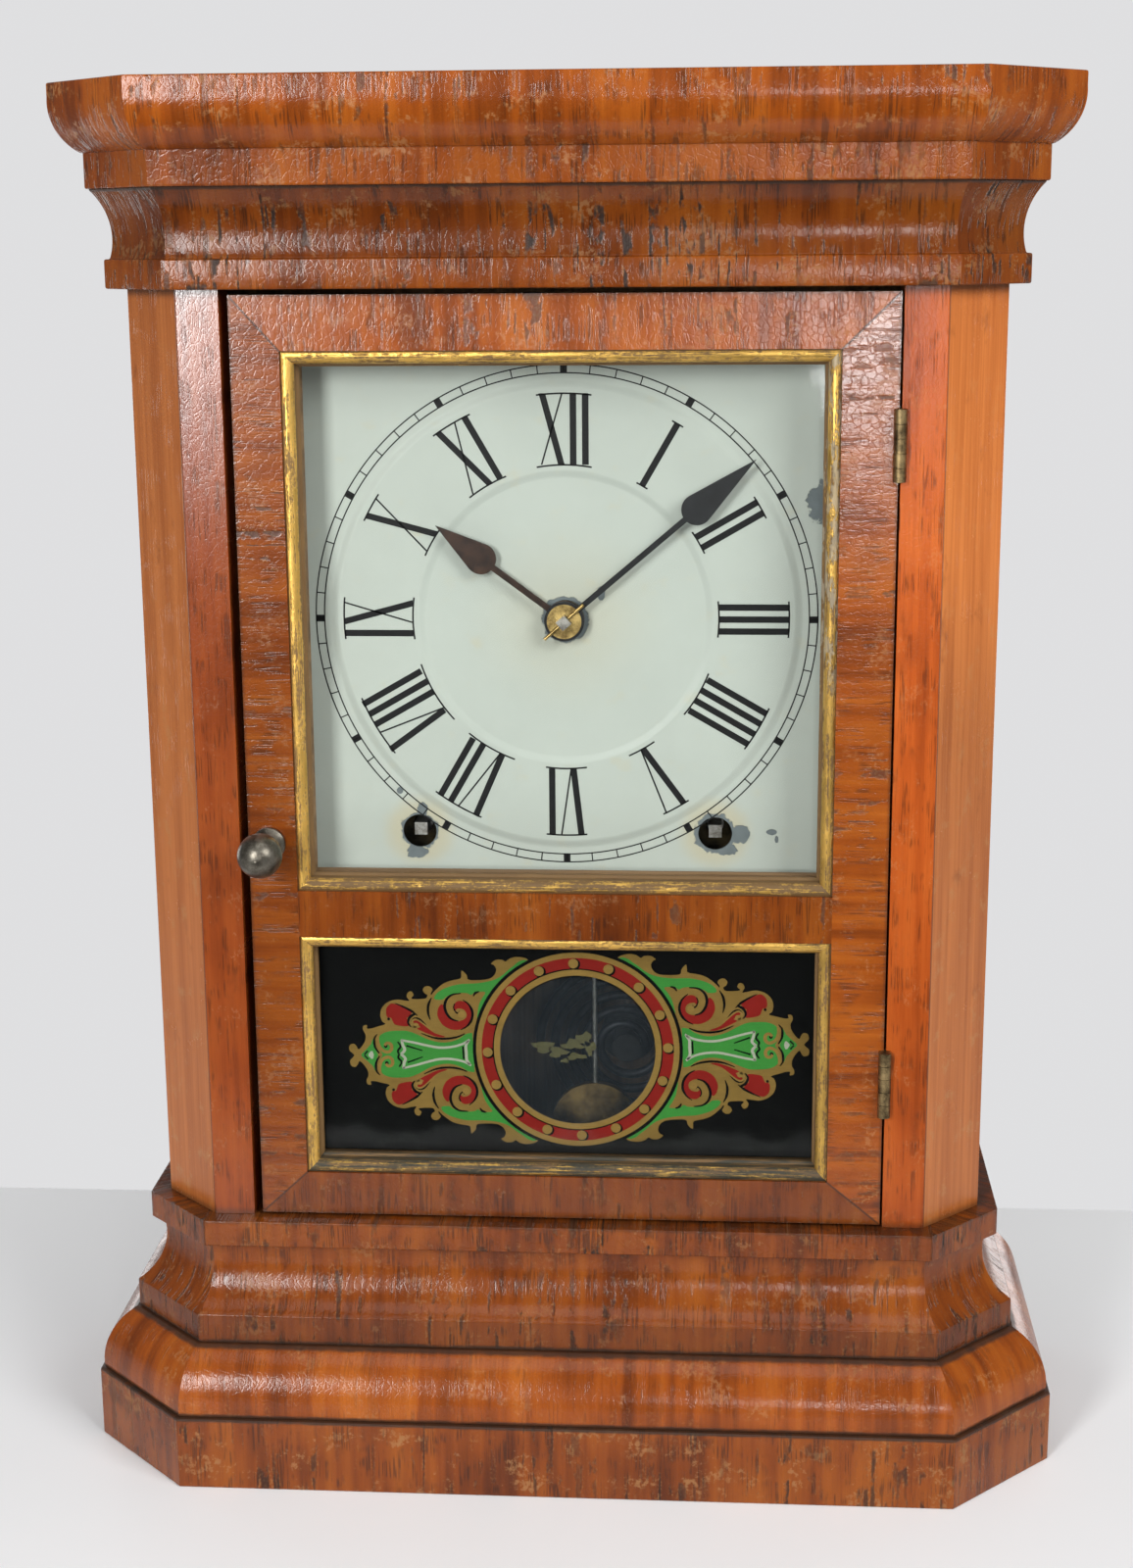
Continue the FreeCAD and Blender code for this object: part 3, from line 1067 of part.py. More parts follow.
def hammer_piece():
    """Hammer on its arbor, with a tail that the lifting pins would raise."""
    tail_l = math.dist(HAMMER, STRIKE_SECOND) - LIFT_PIN_AT - LIFT_PIN_R - CLEARANCE
    turn = bearing(HAMMER, STRIKE_SECOND)
    across = turn + math.pi / 2
    tip = polar(HAMMER, tail_l, turn)
    tail = [polar(HAMMER, ARBOR_R, across), polar(HAMMER, -ARBOR_R, across), polar(tip, -ARBOR_R / 2, across),
            polar(tip, ARBOR_R / 2, across)]
    head_z = GONG[1] + GONG_OUT_R + HAMMER_HEAD_R + HAMMER_GAP
    head = (HAMMER[0] + HAMMER_OUT, head_z)
    root = Vec(HAMMER[0], HAMMER_ROD_Y, HAMMER[1])
    stem = rod_between(root, Vec(head[0], HAMMER_ROD_Y, head[1]), HAMMER_ROD_R)
    poll = rod_y(head, HAMMER_HEAD_R, GONG_SETBACK - HAMMER_HEAD_L / 2, GONG_SETBACK + HAMMER_HEAD_L / 2)
    pieces = [front_prism(tail, HAMMER_TAIL_Y, HAMMER_TAIL_Y + HAMMER_TAIL_T), stem, poll]
    save("hammer", fused(arbor(HAMMER, ARBOR_R, PIVOT_R), pieces))


def spiral_points(inner_r, growth, half_turns, offset):
    """Crossings of a spiral of half turns with its level line, outwards by an offset."""
    return [(-1) ** k * (inner_r + k * growth + offset) for k in range(half_turns + 1)]


def half_turn(at, y, x0, x1, upper):
    """Half turn of a spiral between two crossings of its level line."""
    radius = abs(x1 - x0) / 2
    middle = (x0 + x1) / 2
    lift = radius if upper else -radius
    return Part.Arc(Vec(at[0] + x0, y, at[1]), Vec(at[0] + middle, y, at[1] + lift),
                    Vec(at[0] + x1, y, at[1])).toShape()


def mainspring():
    """Going mainspring, let down, with its outer end beside the pillar that holds it."""
    growth = (SPRING_OUT_R - SPRING_IN_R) / SPRING_HALF_TURNS
    inner = spiral_points(SPRING_IN_R, growth, SPRING_HALF_TURNS, -SPRING_T / 2)
    outer = spiral_points(SPRING_IN_R, growth, SPRING_HALF_TURNS, SPRING_T / 2)
    turns = range(SPRING_HALF_TURNS)
    edges = [half_turn(TIME_MAIN, SPRING_Y, outer[k], outer[k + 1], k % 2 == 0) for k in turns]
    back = [half_turn(TIME_MAIN, SPRING_Y, inner[k], inner[k + 1], k % 2 == 0) for k in turns]
    x, z = TIME_MAIN
    tail = SIDE_PILLAR_UP
    ends = [Vec(x + outer[-1], SPRING_Y, z), Vec(x + outer[-1], SPRING_Y, z + tail),
            Vec(x + inner[-1], SPRING_Y, z + tail), Vec(x + inner[-1], SPRING_Y, z)]
    edges += [Part.makeLine(a, b) for a, b in zip(ends, ends[1:])]
    edges += back
    edges.append(Part.makeLine(Vec(x + inner[0], SPRING_Y, z), Vec(x + outer[0], SPRING_Y, z)))
    return Part.Face(Part.Wire(Part.sortEdges(edges)[0])).extrude(Vec(0, SPRING_W, 0))


def gong_pieces():
    """Coiled wire gong on its block."""
    crossings = spiral_points(GONG_IN_R, GONG_PITCH / 2, GONG_HALF_TURNS, 0)
    arcs = [half_turn(GONG, GONG_SETBACK, crossings[k], crossings[k + 1], k % 2 == 0)
            for k in range(GONG_HALF_TURNS)]
    path = Part.Wire(arcs)
    start = Vec(GONG[0] + crossings[0], GONG_SETBACK, GONG[1])
    ring = Part.Wire(Part.makeCircle(GONG_WIRE_R, start, Vec(0, 0, 1)))
    save("gong_coil", path.makePipeShell([ring], True, False))
    report_gong_gap(arcs)
    foot_y = BACK_Y - GONG_FOOT_T
    foot = rod_y(GONG, GONG_FOOT_R, foot_y, BACK_Y)
    neck = rod_y(GONG, GONG_NECK_R, GONG_SETBACK - 2 * GONG_WIRE_R, foot_y)
    block = fused(foot, [neck]).cut(gong_screw(SEAT_CLEARANCE))
    save("gong_block", group([block, gong_screw(0)]))


def report_gong_gap(arcs):
    """Print the least gap between neighbouring turns of the gong, measured on points."""
    rings = [arc.discretize(GONG_SAMPLES) for arc in arcs]
    least = min((a - b).Length for i, ring in enumerate(rings) for other in rings[i + 2:]
                for a in ring for b in other)
    print("least gap between turns of the gong: %.2f mm" % (least - 2 * GONG_WIRE_R))


def main():
    """Build every piece."""
    os.makedirs("parts", exist_ok=True)
    base_pieces()
    carcass_pieces()
    cornice_pieces()
    door_pieces()
    hinge_pieces()
    knob_pieces()
    dial_pieces()
    hand_pieces()
    frame_pieces()
    going_train()
    verge_piece()
    pendulum_pieces()
    motion_work()
    strike_train()
    hammer_piece()
    spring = mainspring()
    save("mainsprings", group([mirrored(spring), spring]))
    gong_pieces()


main()
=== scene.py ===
"""Cottage clock dressed on its solids: veneered case, gilt door, painted dial and tablet."""
import json
import math

import bmesh
import bpy
from mathutils import Matrix, Vector
from mathutils.geometry import delaunay_2d_cdt


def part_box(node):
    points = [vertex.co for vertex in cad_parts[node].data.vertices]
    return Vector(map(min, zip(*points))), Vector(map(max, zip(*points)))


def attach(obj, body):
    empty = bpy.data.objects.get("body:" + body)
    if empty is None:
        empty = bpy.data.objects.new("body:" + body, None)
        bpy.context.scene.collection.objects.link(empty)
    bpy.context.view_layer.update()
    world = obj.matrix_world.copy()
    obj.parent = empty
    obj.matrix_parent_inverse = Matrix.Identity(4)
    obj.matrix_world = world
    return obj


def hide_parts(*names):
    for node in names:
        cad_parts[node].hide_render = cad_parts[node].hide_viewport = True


bl_info = {
    "name": "Cottage clock",
    "version": (1, 0, 0),
    "blender": (4, 5, 0),
    "location": "3D View > Sidebar > Clock",
    "description": "Dresses a cottage clock: veneer, gilding, painted dial and painted tablet",
    "category": "Object",
}

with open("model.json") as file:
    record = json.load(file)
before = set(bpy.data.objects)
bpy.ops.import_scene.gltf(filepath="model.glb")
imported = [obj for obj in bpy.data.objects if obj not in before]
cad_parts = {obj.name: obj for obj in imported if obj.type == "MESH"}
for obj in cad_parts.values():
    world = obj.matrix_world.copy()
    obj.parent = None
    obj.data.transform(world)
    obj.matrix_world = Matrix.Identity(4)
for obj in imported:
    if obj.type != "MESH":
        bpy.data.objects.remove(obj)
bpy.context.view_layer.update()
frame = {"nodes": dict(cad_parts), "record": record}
NODES = frame["nodes"]
MM = 0.001
TURN = 2 * math.pi
FRONT_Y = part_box("corner_posts")[0].y


def colour(label, words, default):
    """Colour setting."""
    return bpy.props.FloatVectorProperty(name=label, description=words, subtype="COLOR", size=3, min=0.0,
                                         max=1.0, default=default)


def length(label, words, default):
    """Length setting in metres."""
    return bpy.props.FloatProperty(name=label, description=words, unit="LENGTH", precision=5, default=default)


def angle(label, words, degrees):
    """Angle setting, given in degrees."""
    return bpy.props.FloatProperty(name=label, description=words, subtype="ANGLE",
                                   default=math.radians(degrees))


class ClockCase(bpy.types.PropertyGroup):
    """Plan of the case and its mouldings."""

    front_half: length("Front half width", "Half the flat front of the case body", 0.0956)
    cant: length("Cant", "Depth of the canted corner", 0.0162)
    body_depth: length("Body depth", "Depth of the case body", 0.080)
    arris: length("Arris", "Radius worn onto the arrises of the mouldings", 0.0006)
    wood_arris: length("Board arris", "Radius worn onto the arrises of posts and door", 0.0004)


class ClockWood(bpy.types.PropertyGroup):
    """Colours of the wood."""

    dark: colour("Dark figure", "Dark bands of the veneer", (0.120, 0.0240, 0.0032))
    mid: colour("Middle figure", "Main colour of the veneer", (0.270, 0.0580, 0.0055))
    light: colour("Light figure", "Light bands of the veneer", (0.385, 0.1000, 0.0100))
    tan: colour("Worn wood", "Wood where the varnish has gone", (0.42, 0.195, 0.068))
    cant_dark: colour("Cant dark figure", "Dark bands of the canted strips", (0.33, 0.090, 0.0185))
    cant_light: colour("Cant light figure", "Light bands of the canted strips", (0.48, 0.152, 0.0360))
    post_dark: colour("Post dark figure", "Dark bands of the posts' front strips", (0.22, 0.038, 0.0060))
    post_mid: colour("Post middle figure", "Main colour of the posts' front strips", (0.37, 0.070, 0.0100))
    post_light: colour("Post light figure", "Light bands of the posts' front strips", (0.46, 0.102, 0.0160))
    pore: colour("Open pores", "Open pores and cracks of the veneer", (0.020, 0.010, 0.006))
    # Dark colour for soiling in the quirks, also used for painted shade where parts meet and at the door's edges.
    grime_and_shade: colour("Grime", "Old dirt in the quirks", (0.022, 0.014, 0.009))
    pine: colour("Softwood", "Bare softwood inside the case", (0.34, 0.185, 0.082))


class ClockGilt(bpy.types.PropertyGroup):
    """Gold leaf of the door mouldings."""

    leaf: colour("Leaf", "Sound gold leaf", (0.82, 0.50, 0.120))
    ground: colour("Ground", "Dark ground where the leaf is rubbed", (0.085, 0.040, 0.015))
    soot: colour("Soot", "Green-black dirt along the foot of the door", (0.016, 0.020, 0.014))
    gesso: colour("Gesso", "Bare ground where the leaf has flaked off", (0.30, 0.25, 0.17))
    width: length("Width", "Width of the gilt moulding", 0.004)
    wear: bpy.props.FloatProperty(name="Wear", description="How much of the leaf is rubbed away",
                                  subtype="FACTOR", min=0.0, max=1.0, default=0.49)


class ClockDial(bpy.types.PropertyGroup):
    """Painted dial."""

    paint: colour("Paint", "Pale paint of the dial", (0.485, 0.522, 0.480))
    stain: colour("Stain", "Yellow stain on the paint", (0.52, 0.445, 0.275))
    zinc: colour("Bare metal", "Metal where the paint has flaked", (0.150, 0.175, 0.185))
    ink: colour("Ink", "Numerals and minute track", (0.012, 0.012, 0.013))
    track_in: length("Track inside radius", "Inner line of the minute track", 0.0635)
    track_out: length("Track outside radius", "Outer line of the minute track", 0.0657)
    numeral_in: length("Numeral foot", "Radius at the foot of the numerals", 0.0401)
    numeral_out: length("Numeral head", "Radius at the head of the numerals", 0.0583)
    thick: length("Thick stroke", "Width of the thick strokes", 0.0017)
    thin: length("Thin stroke", "Width of the thin strokes", 0.00044)


class ClockTablet(bpy.types.PropertyGroup):
    """Painted lower glass."""

    ring_x: length("Ring across", "Middle of the ring, across the clock", 0.00305)
    ring_z: length("Ring height", "Middle of the ring, above the floor", 0.1168)
    ring_out: length("Ring radius", "Outside radius of the ring", 0.0274)
    window: length("Window radius", "Radius of the clear window", 0.02095)
    tilt: angle("Tilt", "Tilt of the painted ornament", 2.4)
    dots: bpy.props.IntProperty(name="Studs", description="Gold studs round the ring", default=16, min=3)
    ground: colour("Ground", "Black ground of the tablet", (0.0075, 0.0080, 0.0085))
    gold: colour("Gold", "Bronzed gold lines", (0.60, 0.370, 0.100))
    red: colour("Red", "Red fields", (0.55, 0.032, 0.024))
    green: colour("Green", "Green fields", (0.11, 0.56, 0.10))
    cream: colour("Cream", "Cream bars", (0.90, 0.92, 0.74))
    flake: colour("Flakes", "Worn paint left in the window", (0.19, 0.170, 0.062))
    dust: colour("Dust", "Dust on the glass of the window", (0.42, 0.52, 0.60))


class ClockStage(bpy.types.PropertyGroup):
    """Floor, light and camera."""

    floor: colour("Floor", "Pale floor", (0.87, 0.88, 0.89))
    surround: colour("Surround", "Pale backdrop", (0.74, 0.74, 0.75))
    ambient: colour("Ambient", "Dim light all round", (0.17, 0.17, 0.172))
    floor_back: length("Floor back edge", "How far the floor runs behind the clock", 0.15)
    floor_front: length("Floor front edge", "How far the floor runs before the clock", -2.0)
    floor_lit: length("Floor light", "How far before the clock the floor throws light back", -0.26)
    camera: bpy.props.FloatVectorProperty(name="Camera", description="Place of the camera", subtype="XYZ",
                                          size=3, default=(0.042716, -0.614791, 0.328911))
    yaw: angle("Yaw", "Camera yaw", 4.0607)
    pitch: angle("Pitch", "Camera pitch", -13.1282)
    roll: angle("Roll", "Camera roll", 0.4336)
    lens: bpy.props.FloatProperty(name="Lens", description="Focal length in millimetres", default=53.547)


def arithmetic(operation, swapped=False):
    """Method of a term that adds one Math node."""
    def method(self, *others):
        values = (*others, self) if swapped else (self, *others)
        return self.graph.node("ShaderNodeMath", {"operation": operation}, dict(enumerate(values)))
    return method


class Term:
    """One value in a node tree; arithmetic on it adds Math nodes."""

    def __init__(self, graph, socket):
        self.graph = graph
        self.socket = socket

    __add__ = __radd__ = arithmetic("ADD")
    __sub__ = arithmetic("SUBTRACT")
    __rsub__ = arithmetic("SUBTRACT", swapped=True)
    __mul__ = __rmul__ = arithmetic("MULTIPLY")
    __truediv__ = arithmetic("DIVIDE")
    __pow__ = arithmetic("POWER")
    __abs__ = arithmetic("ABSOLUTE")
    least = arithmetic("MINIMUM")
    most = arithmetic("MAXIMUM")
    above = arithmetic("GREATER_THAN")
    root = arithmetic("SQRT")

    def ramp(self, low, high):
        """Smooth step from none at low to all at high."""
        return self.graph.node("ShaderNodeMapRange", {"interpolation_type": "SMOOTHSTEP"},
                               {0: self, 1: low, 2: high, 3: 0.0, 4: 1.0})


class Graph:
    """Node tree that is filled by one method."""

    def __init__(self, tree):
        self.tree = tree

    def node(self, kind, settings=None, sockets=None, out=0):
        """Add a node, set its settings first, then its sockets, and give one of its outputs if it has any."""
        node = self.tree.nodes.new(kind)
        for key, value in (settings or {}).items():
            if key == "stops":
                ramp = node.color_ramp.elements
                while len(ramp) < len(value):
                    ramp.new(0.5)
                for stop, (at, tint) in zip(ramp, value):
                    stop.position = at
                    stop.color = (*tint, 1.0)
            else:
                setattr(node, key, value)
        for key, value in (sockets or {}).items():
            target = node.inputs[key]
            if isinstance(value, Term):
                self.tree.links.new(value.socket, target)
            elif target.type == "RGBA":
                target.default_value = (*tuple(value)[:3], 1.0)
            else:
                target.default_value = value
        return Term(self, node.outputs[out]) if len(node.outputs) else None

    def others(self, term, *outs):
        """More outputs of the node that gave a term."""
        return [Term(self, term.socket.node.outputs[out]) for out in outs]


class Finish(Graph):
    """Material of one finish."""

    def __init__(self, name):
        self.material = bpy.data.materials.new(name)
        self.material.use_nodes = True
        super().__init__(self.material.node_tree)
        self.tree.nodes.clear()

    def place(self):
        """Object position in millimetres."""
        return self.millimetres(self.node("ShaderNodeTexCoord", out="Object"))

    def run(self):
        """Millimetres along and across a swept piece, from its own map."""
        return self.millimetres(self.node("ShaderNodeUVMap", {"uv_map": "run"}))[:2]

    def millimetres(self, vector):
        scaled = self.node("ShaderNodeVectorMath", {"operation": "SCALE"}, {0: vector, "Scale": 1 / MM})
        x = self.node("ShaderNodeSeparateXYZ", None, {0: scaled})
        return [x] + self.others(x, 1, 2)

    def noise(self, x, y, z=0.0, detail=2.0, rough=0.5):
        vector = self.node("ShaderNodeCombineXYZ", None, {0: x, 1: y, 2: z})
        return self.node("ShaderNodeTexNoise", None, {"Vector": vector, "Scale": 1.0, "Detail": detail,
                                                      "Roughness": rough})

    def cells(self, x, y, z=0.0):
        """Distance to the nearest cell wall of a crackle."""
        vector = self.node("ShaderNodeCombineXYZ", None, {0: x, 1: y, 2: z})
        return self.node("ShaderNodeTexVoronoi", {"feature": "DISTANCE_TO_EDGE"},
                         {"Vector": vector, "Scale": 1.0})

    def tint(self, amount, stops):
        return self.node("ShaderNodeValToRGB", {"stops": stops}, {0: amount})

    def blend(self, amount, below, over, mode="MIX"):
        return self.node("ShaderNodeMix", {"data_type": "RGBA", "blend_type": mode},
                         {0: amount, 6: below, 7: over}, out=2)

    def shade(self, below, amount):
        """Colour made lighter or darker by a factor."""
        grey = self.node("ShaderNodeCombineColor", None, {0: amount, 1: amount, 2: amount})
        return self.blend(1.0, below, grey, "MULTIPLY")

    def bump(self, height, relief):
        return self.node("ShaderNodeBump", None, {"Strength": 1.0, "Distance": relief, "Height": height})

    def surface(self, height=None, relief=0.0001, gloss=None, **values):
        """Close the finish with one shader, or mix in a glossier one; a name's underscores stand for spaces."""
        sockets = {key.replace("_", " "): value for key, value in values.items()}
        if height is not None:
            sockets["Normal"] = self.bump(height, relief)
        shader = self.node("ShaderNodeBsdfPrincipled", None, sockets)
        if gloss is not None:
            share, level = gloss
            glossy = self.node("ShaderNodeBsdfPrincipled", None, {**sockets, "Specular IOR Level": level})
            shader = self.node("ShaderNodeMixShader", None, {0: share, 1: shader, 2: glossy})
        return self.close(shader)

    def close(self, shader):
        self.node("ShaderNodeOutputMaterial", None, {"Surface": shader})
        return self.material


def veneer(f, across, along, seed, cracks=1.0, wear=1.0, tones=None, pores=None):
    """Colour, roughness and height of old crossbanded veneer, with the grain along the second way."""
    w = bpy.context.scene.clock_wood
    dark, mid, light = tones or (w.dark, w.mid, w.light)

    def grain(wide, long, shift, *more):
        """Noise of so many millimetres across and along the grain."""
        return f.noise(across / wide, along / long, seed + shift, *more)

    slow = grain(24.0, 40.0, 0.0)
    figure = (0.55 * slow + 0.45 * grain(3.6, 90.0, 3.0, 3.0)).ramp(0.28, 0.72)
    tone = f.tint(figure, [(0.0, dark), (0.45, mid), (1.0, light)])
    tone = f.shade(tone, 0.84 + 0.32 * grain(0.45, 11.0, 5.0))
    ragged = across + 0.7 * grain(2.0, 1.5, 7.0, 3.0, 0.7)
    split = abs(f.noise(ragged / 6.0, along / 120.0, seed + 9.0) - 0.5)
    gate = grain(3.5, 6.5, 11.0, 3.0).ramp(0.47, 0.57)
    gate = gate * (0.25 + 0.75 * grain(26.0, 30.0, 10.0).ramp(0.40, 0.62))
    crack = (1.0 - split.ramp(0.012, 0.034)) * gate * cracks
    chip = grain(0.8, 0.9, 12.0).ramp(0.50, 0.60)
    rim = (1.0 - split.ramp(0.030, 0.070)) * chip * gate * cracks
    line = abs(grain(1.3, 34.0, 13.0) - 0.5)
    gather = grain(6.0, 8.0, 15.0).ramp(0.46, 0.62)
    pore = (1.0 - line.ramp(0.015, 0.055)) * gather * (0.3 + 0.7 * cracks if pores is None else pores)
    speck = grain(1.1, 1.7, 18.0, 3.0).ramp(0.40, 0.60)
    rubbed = grain(15.0, 11.0, 17.0, 6.0, 0.72).ramp(0.53, 0.63) * speck * wear
    smoke = grain(19.0, 24.0, 19.0, 3.0).ramp(0.54, 0.80)
    tone = f.blend(0.45 * smoke, tone, dark)
    tone = f.blend((0.62 * rubbed).most(0.68 * rim), tone, w.tan)
    tone = f.blend((0.94 * crack).most(0.60 * pore), tone, w.pore)
    rough = 0.16 + 0.22 * rubbed + 0.30 * crack + 0.08 * slow
    crackle = f.cells(across / 1.6, along / 2.0, seed).ramp(0.0, 0.14)
    dimple, swell = grain(1.5, 2.4, 21.0), grain(2.6, 40.0, 23.0)
    height = 0.14 * crackle + 0.26 * dimple + 0.34 * swell * cracks - 0.9 * crack - 0.4 * pore + 0.3 * rim
    return tone, rough, height


def wood_finish(name, seed, depth, foot=None, head=None, **amounts):
    """Veneer of a swept moulding: made darker or lighter from band to curve as painted shade and light, with
    soiling and painted shade above its foot and below its head.
    """
    f = Finish(name)
    across, along = f.run()
    tone, rough, height = veneer(f, across, along, seed, **amounts)
    z = f.place()[2]
    edge, below, above = depth
    # Painted shade and light: the zones below and above the level each take their own brightness factor, partly
    # the veneer's own tone, partly standing for how light falls on them.
    tone = f.shade(tone, below + (above - below) * (z - edge).ramp(-0.4, 0.4))
    # Darker in a thin band above the foot and below the head, where the moulding meets its neighbours: soiling in
    # the quirks and painted shade.
    dirt_and_shade = 0.0
    if foot is not None:
        dirt_and_shade = dirt_and_shade + 1.0 - (z - foot).ramp(0.2, 2.2)
    if head is not None:
        dirt_and_shade = dirt_and_shade + 1.0 - (head - z).ramp(0.1, 1.5)
    if isinstance(dirt_and_shade, Term):
        dirt_and_shade = (dirt_and_shade * (0.45 + f.noise(across / 5.0, along / 3.0, seed + 31.0, 3.0))).ramp(0.25, 0.9)
        tone = f.blend(0.85 * dirt_and_shade, tone, bpy.context.scene.clock_wood.grime_and_shade)
        rough = rough + 0.25 * dirt_and_shade
    return f.surface(height, 0.00010, Base_Color=tone, Roughness=rough, Specular_IOR_Level=0.30)


def add_mesh(name, bm, finish):
    """Turn a bmesh into an object of the scene."""
    mesh = bpy.data.meshes.new(name)
    bm.to_mesh(mesh)
    bm.free()
    mesh.materials.append(finish)
    piece = bpy.data.objects.new(name, mesh)
    bpy.context.scene.collection.objects.link(piece)
    return piece


def add_piece(name, bm, finish, body, smooth=None):
    """Piece that rides on a body, smooth up to an angle where one is given."""
    piece = add_mesh(name, bm, finish)
    if smooth is not None:
        piece.data.polygons.foreach_set("use_smooth", [True] * len(piece.data.polygons))
        piece.data.set_sharp_from_angle(angle=smooth)
    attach(piece, body)
    return piece


def face_front(bm):
    """Turn every face towards the front."""
    for face in bm.faces:
        face.normal_update()
        if face.normal.y > 0:
            face.normal_flip()


def arc(start, middle, end, steps=14):
    """Points of the arc through three points."""
    (ax, ay), (bx, by), (cx, cy) = start, middle, end
    aa, bb, cc = (x * x + y * y for x, y in (start, middle, end))
    d = 2 * (ax * (by - cy) + bx * (cy - ay) + cx * (ay - by))
    ux = (aa * (by - cy) + bb * (cy - ay) + cc * (ay - by)) / d
    uy = (aa * (cx - bx) + bb * (ax - cx) + cc * (bx - ax)) / d
    radius = math.hypot(ax - ux, ay - uy)
    first, half, last = (math.atan2(y - uy, x - ux) for x, y in (start, middle, end))
    sweep = (last - first) % TURN
    if (half - first) % TURN > sweep:
        sweep -= TURN
    turns = [first + sweep * i / steps for i in range(1, steps + 1)]
    return [start] + [(ux + radius * math.cos(t), uy + radius * math.sin(t)) for t in turns]


def eased(points, radius, keep):
    """Closed outline with its sharp corners worn round; points that keep() names stay sharp."""
    worn = []
    for i, here in enumerate(points):
        at = Vector(here)
        back, on = Vector(points[i - 1]) - at, Vector(points[(i + 1) % len(points)]) - at
        flat = keep(here) or min(back.length, on.length) < 1e-9
        turn = 0.0 if flat else math.pi - back.angle(on)
        if turn < math.radians(25):
            worn.append(here)
            continue
        cut = min(radius * math.tan(turn / 2), 0.4 * back.length, 0.4 * on.length)
        first, last = at + back.normalized() * cut, at + on.normalized() * cut
        for t in (0.0, 1 / 3, 2 / 3, 1.0):
            worn.append(tuple(first * (1 - t) ** 2 + at * 2 * t * (1 - t) + last * t * t))
    return worn


def sweep_strips(name, strips, outline, finish, body):
    """Closed strips over one outline: each strip gives the two ends of a point, and its run there."""
    bm = bmesh.new()
    uv = bm.loops.layers.uv.new("run")
    count = len(outline)
    travelled = [0.0]
    for i in range(1, count + 1):
        a, b = outline[i - 1], outline[i % count]
        travelled.append(travelled[-1] + math.hypot(b[0] - a[0], b[1] - a[1]))
    for strip in strips:
        ends = [strip(*point) for point in outline]
        rows = [[bm.verts.new(end[0]) for end in ends], [bm.verts.new(end[1]) for end in ends]]
        for i in range(count):
            j = (i + 1) % count
            face = bm.faces.new((rows[0][i], rows[1][i], rows[1][j], rows[0][j]))
            corner = ((ends[i][2], travelled[i]), (ends[i][3], travelled[i]), (ends[j][3], travelled[i + 1]),
                      (ends[j][2], travelled[i + 1]))
            for loop, at in zip(face.loops, corner):
                loop[uv].uv = at
        for row, side in zip(rows, (2, 3)):
            face = bm.faces.new(row)
            for loop, end, gone in zip(face.loops, ends, travelled):
                loop[uv].uv = (end[side], gone)
    bmesh.ops.recalc_face_normals(bm, faces=bm.faces)
    return add_piece(name, bm, finish, body, math.radians(28))


def case_strips():
    """The five runs round the case as functions of stand-out and height."""
    c = bpy.context.scene.clock_case
    lift = math.tan(math.radians(22.5))
    half = c.front_half + c.cant

    def front_corner(p):
        return c.front_half + p * lift, -p

    def outer_corner(p):
        return half + p, c.cant - p * lift

    def back_corner(p):
        return half + p, c.body_depth

    def strip(left, first, right, last, run):
        """Run between two corners, each on its side of the clock."""
        def ends(p, z):
            pair = (left, *first(p)), (right, *last(p))
            return (*(Vector((side * x, y + FRONT_Y, z)) for side, x, y in pair), *(run(*end) for end in pair))
        return ends

    def canted(side):
        return strip(side, front_corner, side, outer_corner,
                     lambda side, x, y: 0.4 * side + 0.8 + (x - c.front_half + y) * math.sqrt(0.5))

    def flank(side):
        return strip(side, outer_corner, side, back_corner, lambda side, x, y: 0.4 * side + 2.0 + y)

    front = strip(-1, front_corner, 1, front_corner, lambda side, x, y: side * x)
    return [flank(-1), canted(-1), front, canted(1), flank(1)]


def span(node):
    """Lowest and highest level of a node in metres."""
    low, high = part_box(node)
    return low.z, high.z


# Stand-out of the mouldings from the case body and heights over their feet, in metres
PLINTH_OUT = 0.0205
OVOLO_FOOT_OUT, OVOLO_BELLY_OUT, OVOLO_BELLY_UP, OVOLO_HEAD_OUT = 0.0193, 0.01748, 0.00992, 0.0102
FILLET_OUT, FILLET_HIGH = 0.0095, 0.0082
COVE_HOLLOW_OUT, COVE_HOLLOW_UP, COVE_HEAD_OUT = 0.0016, 0.0131, 0.0024
FASCIA_OUT, FASCIA_HIGH = 0.0051, 0.0074
CORNICE_FOOT_OUT, CORNICE_HOLLOW_OUT, CORNICE_HOLLOW_UP, CORNICE_HEAD_OUT = 0.0037, 0.0029, 0.00502, 0.0080
BAND_OUT, BAND_HIGH = 0.0087, 0.0088
CROWN_FOOT_OUT, CROWN_BELLY_OUT, CROWN_BELLY_SHARE = 0.0093, 0.01455, 0.39
CROWN_LIP_OUT, CROWN_LIP_HIGH = 0.0163, 0.0035


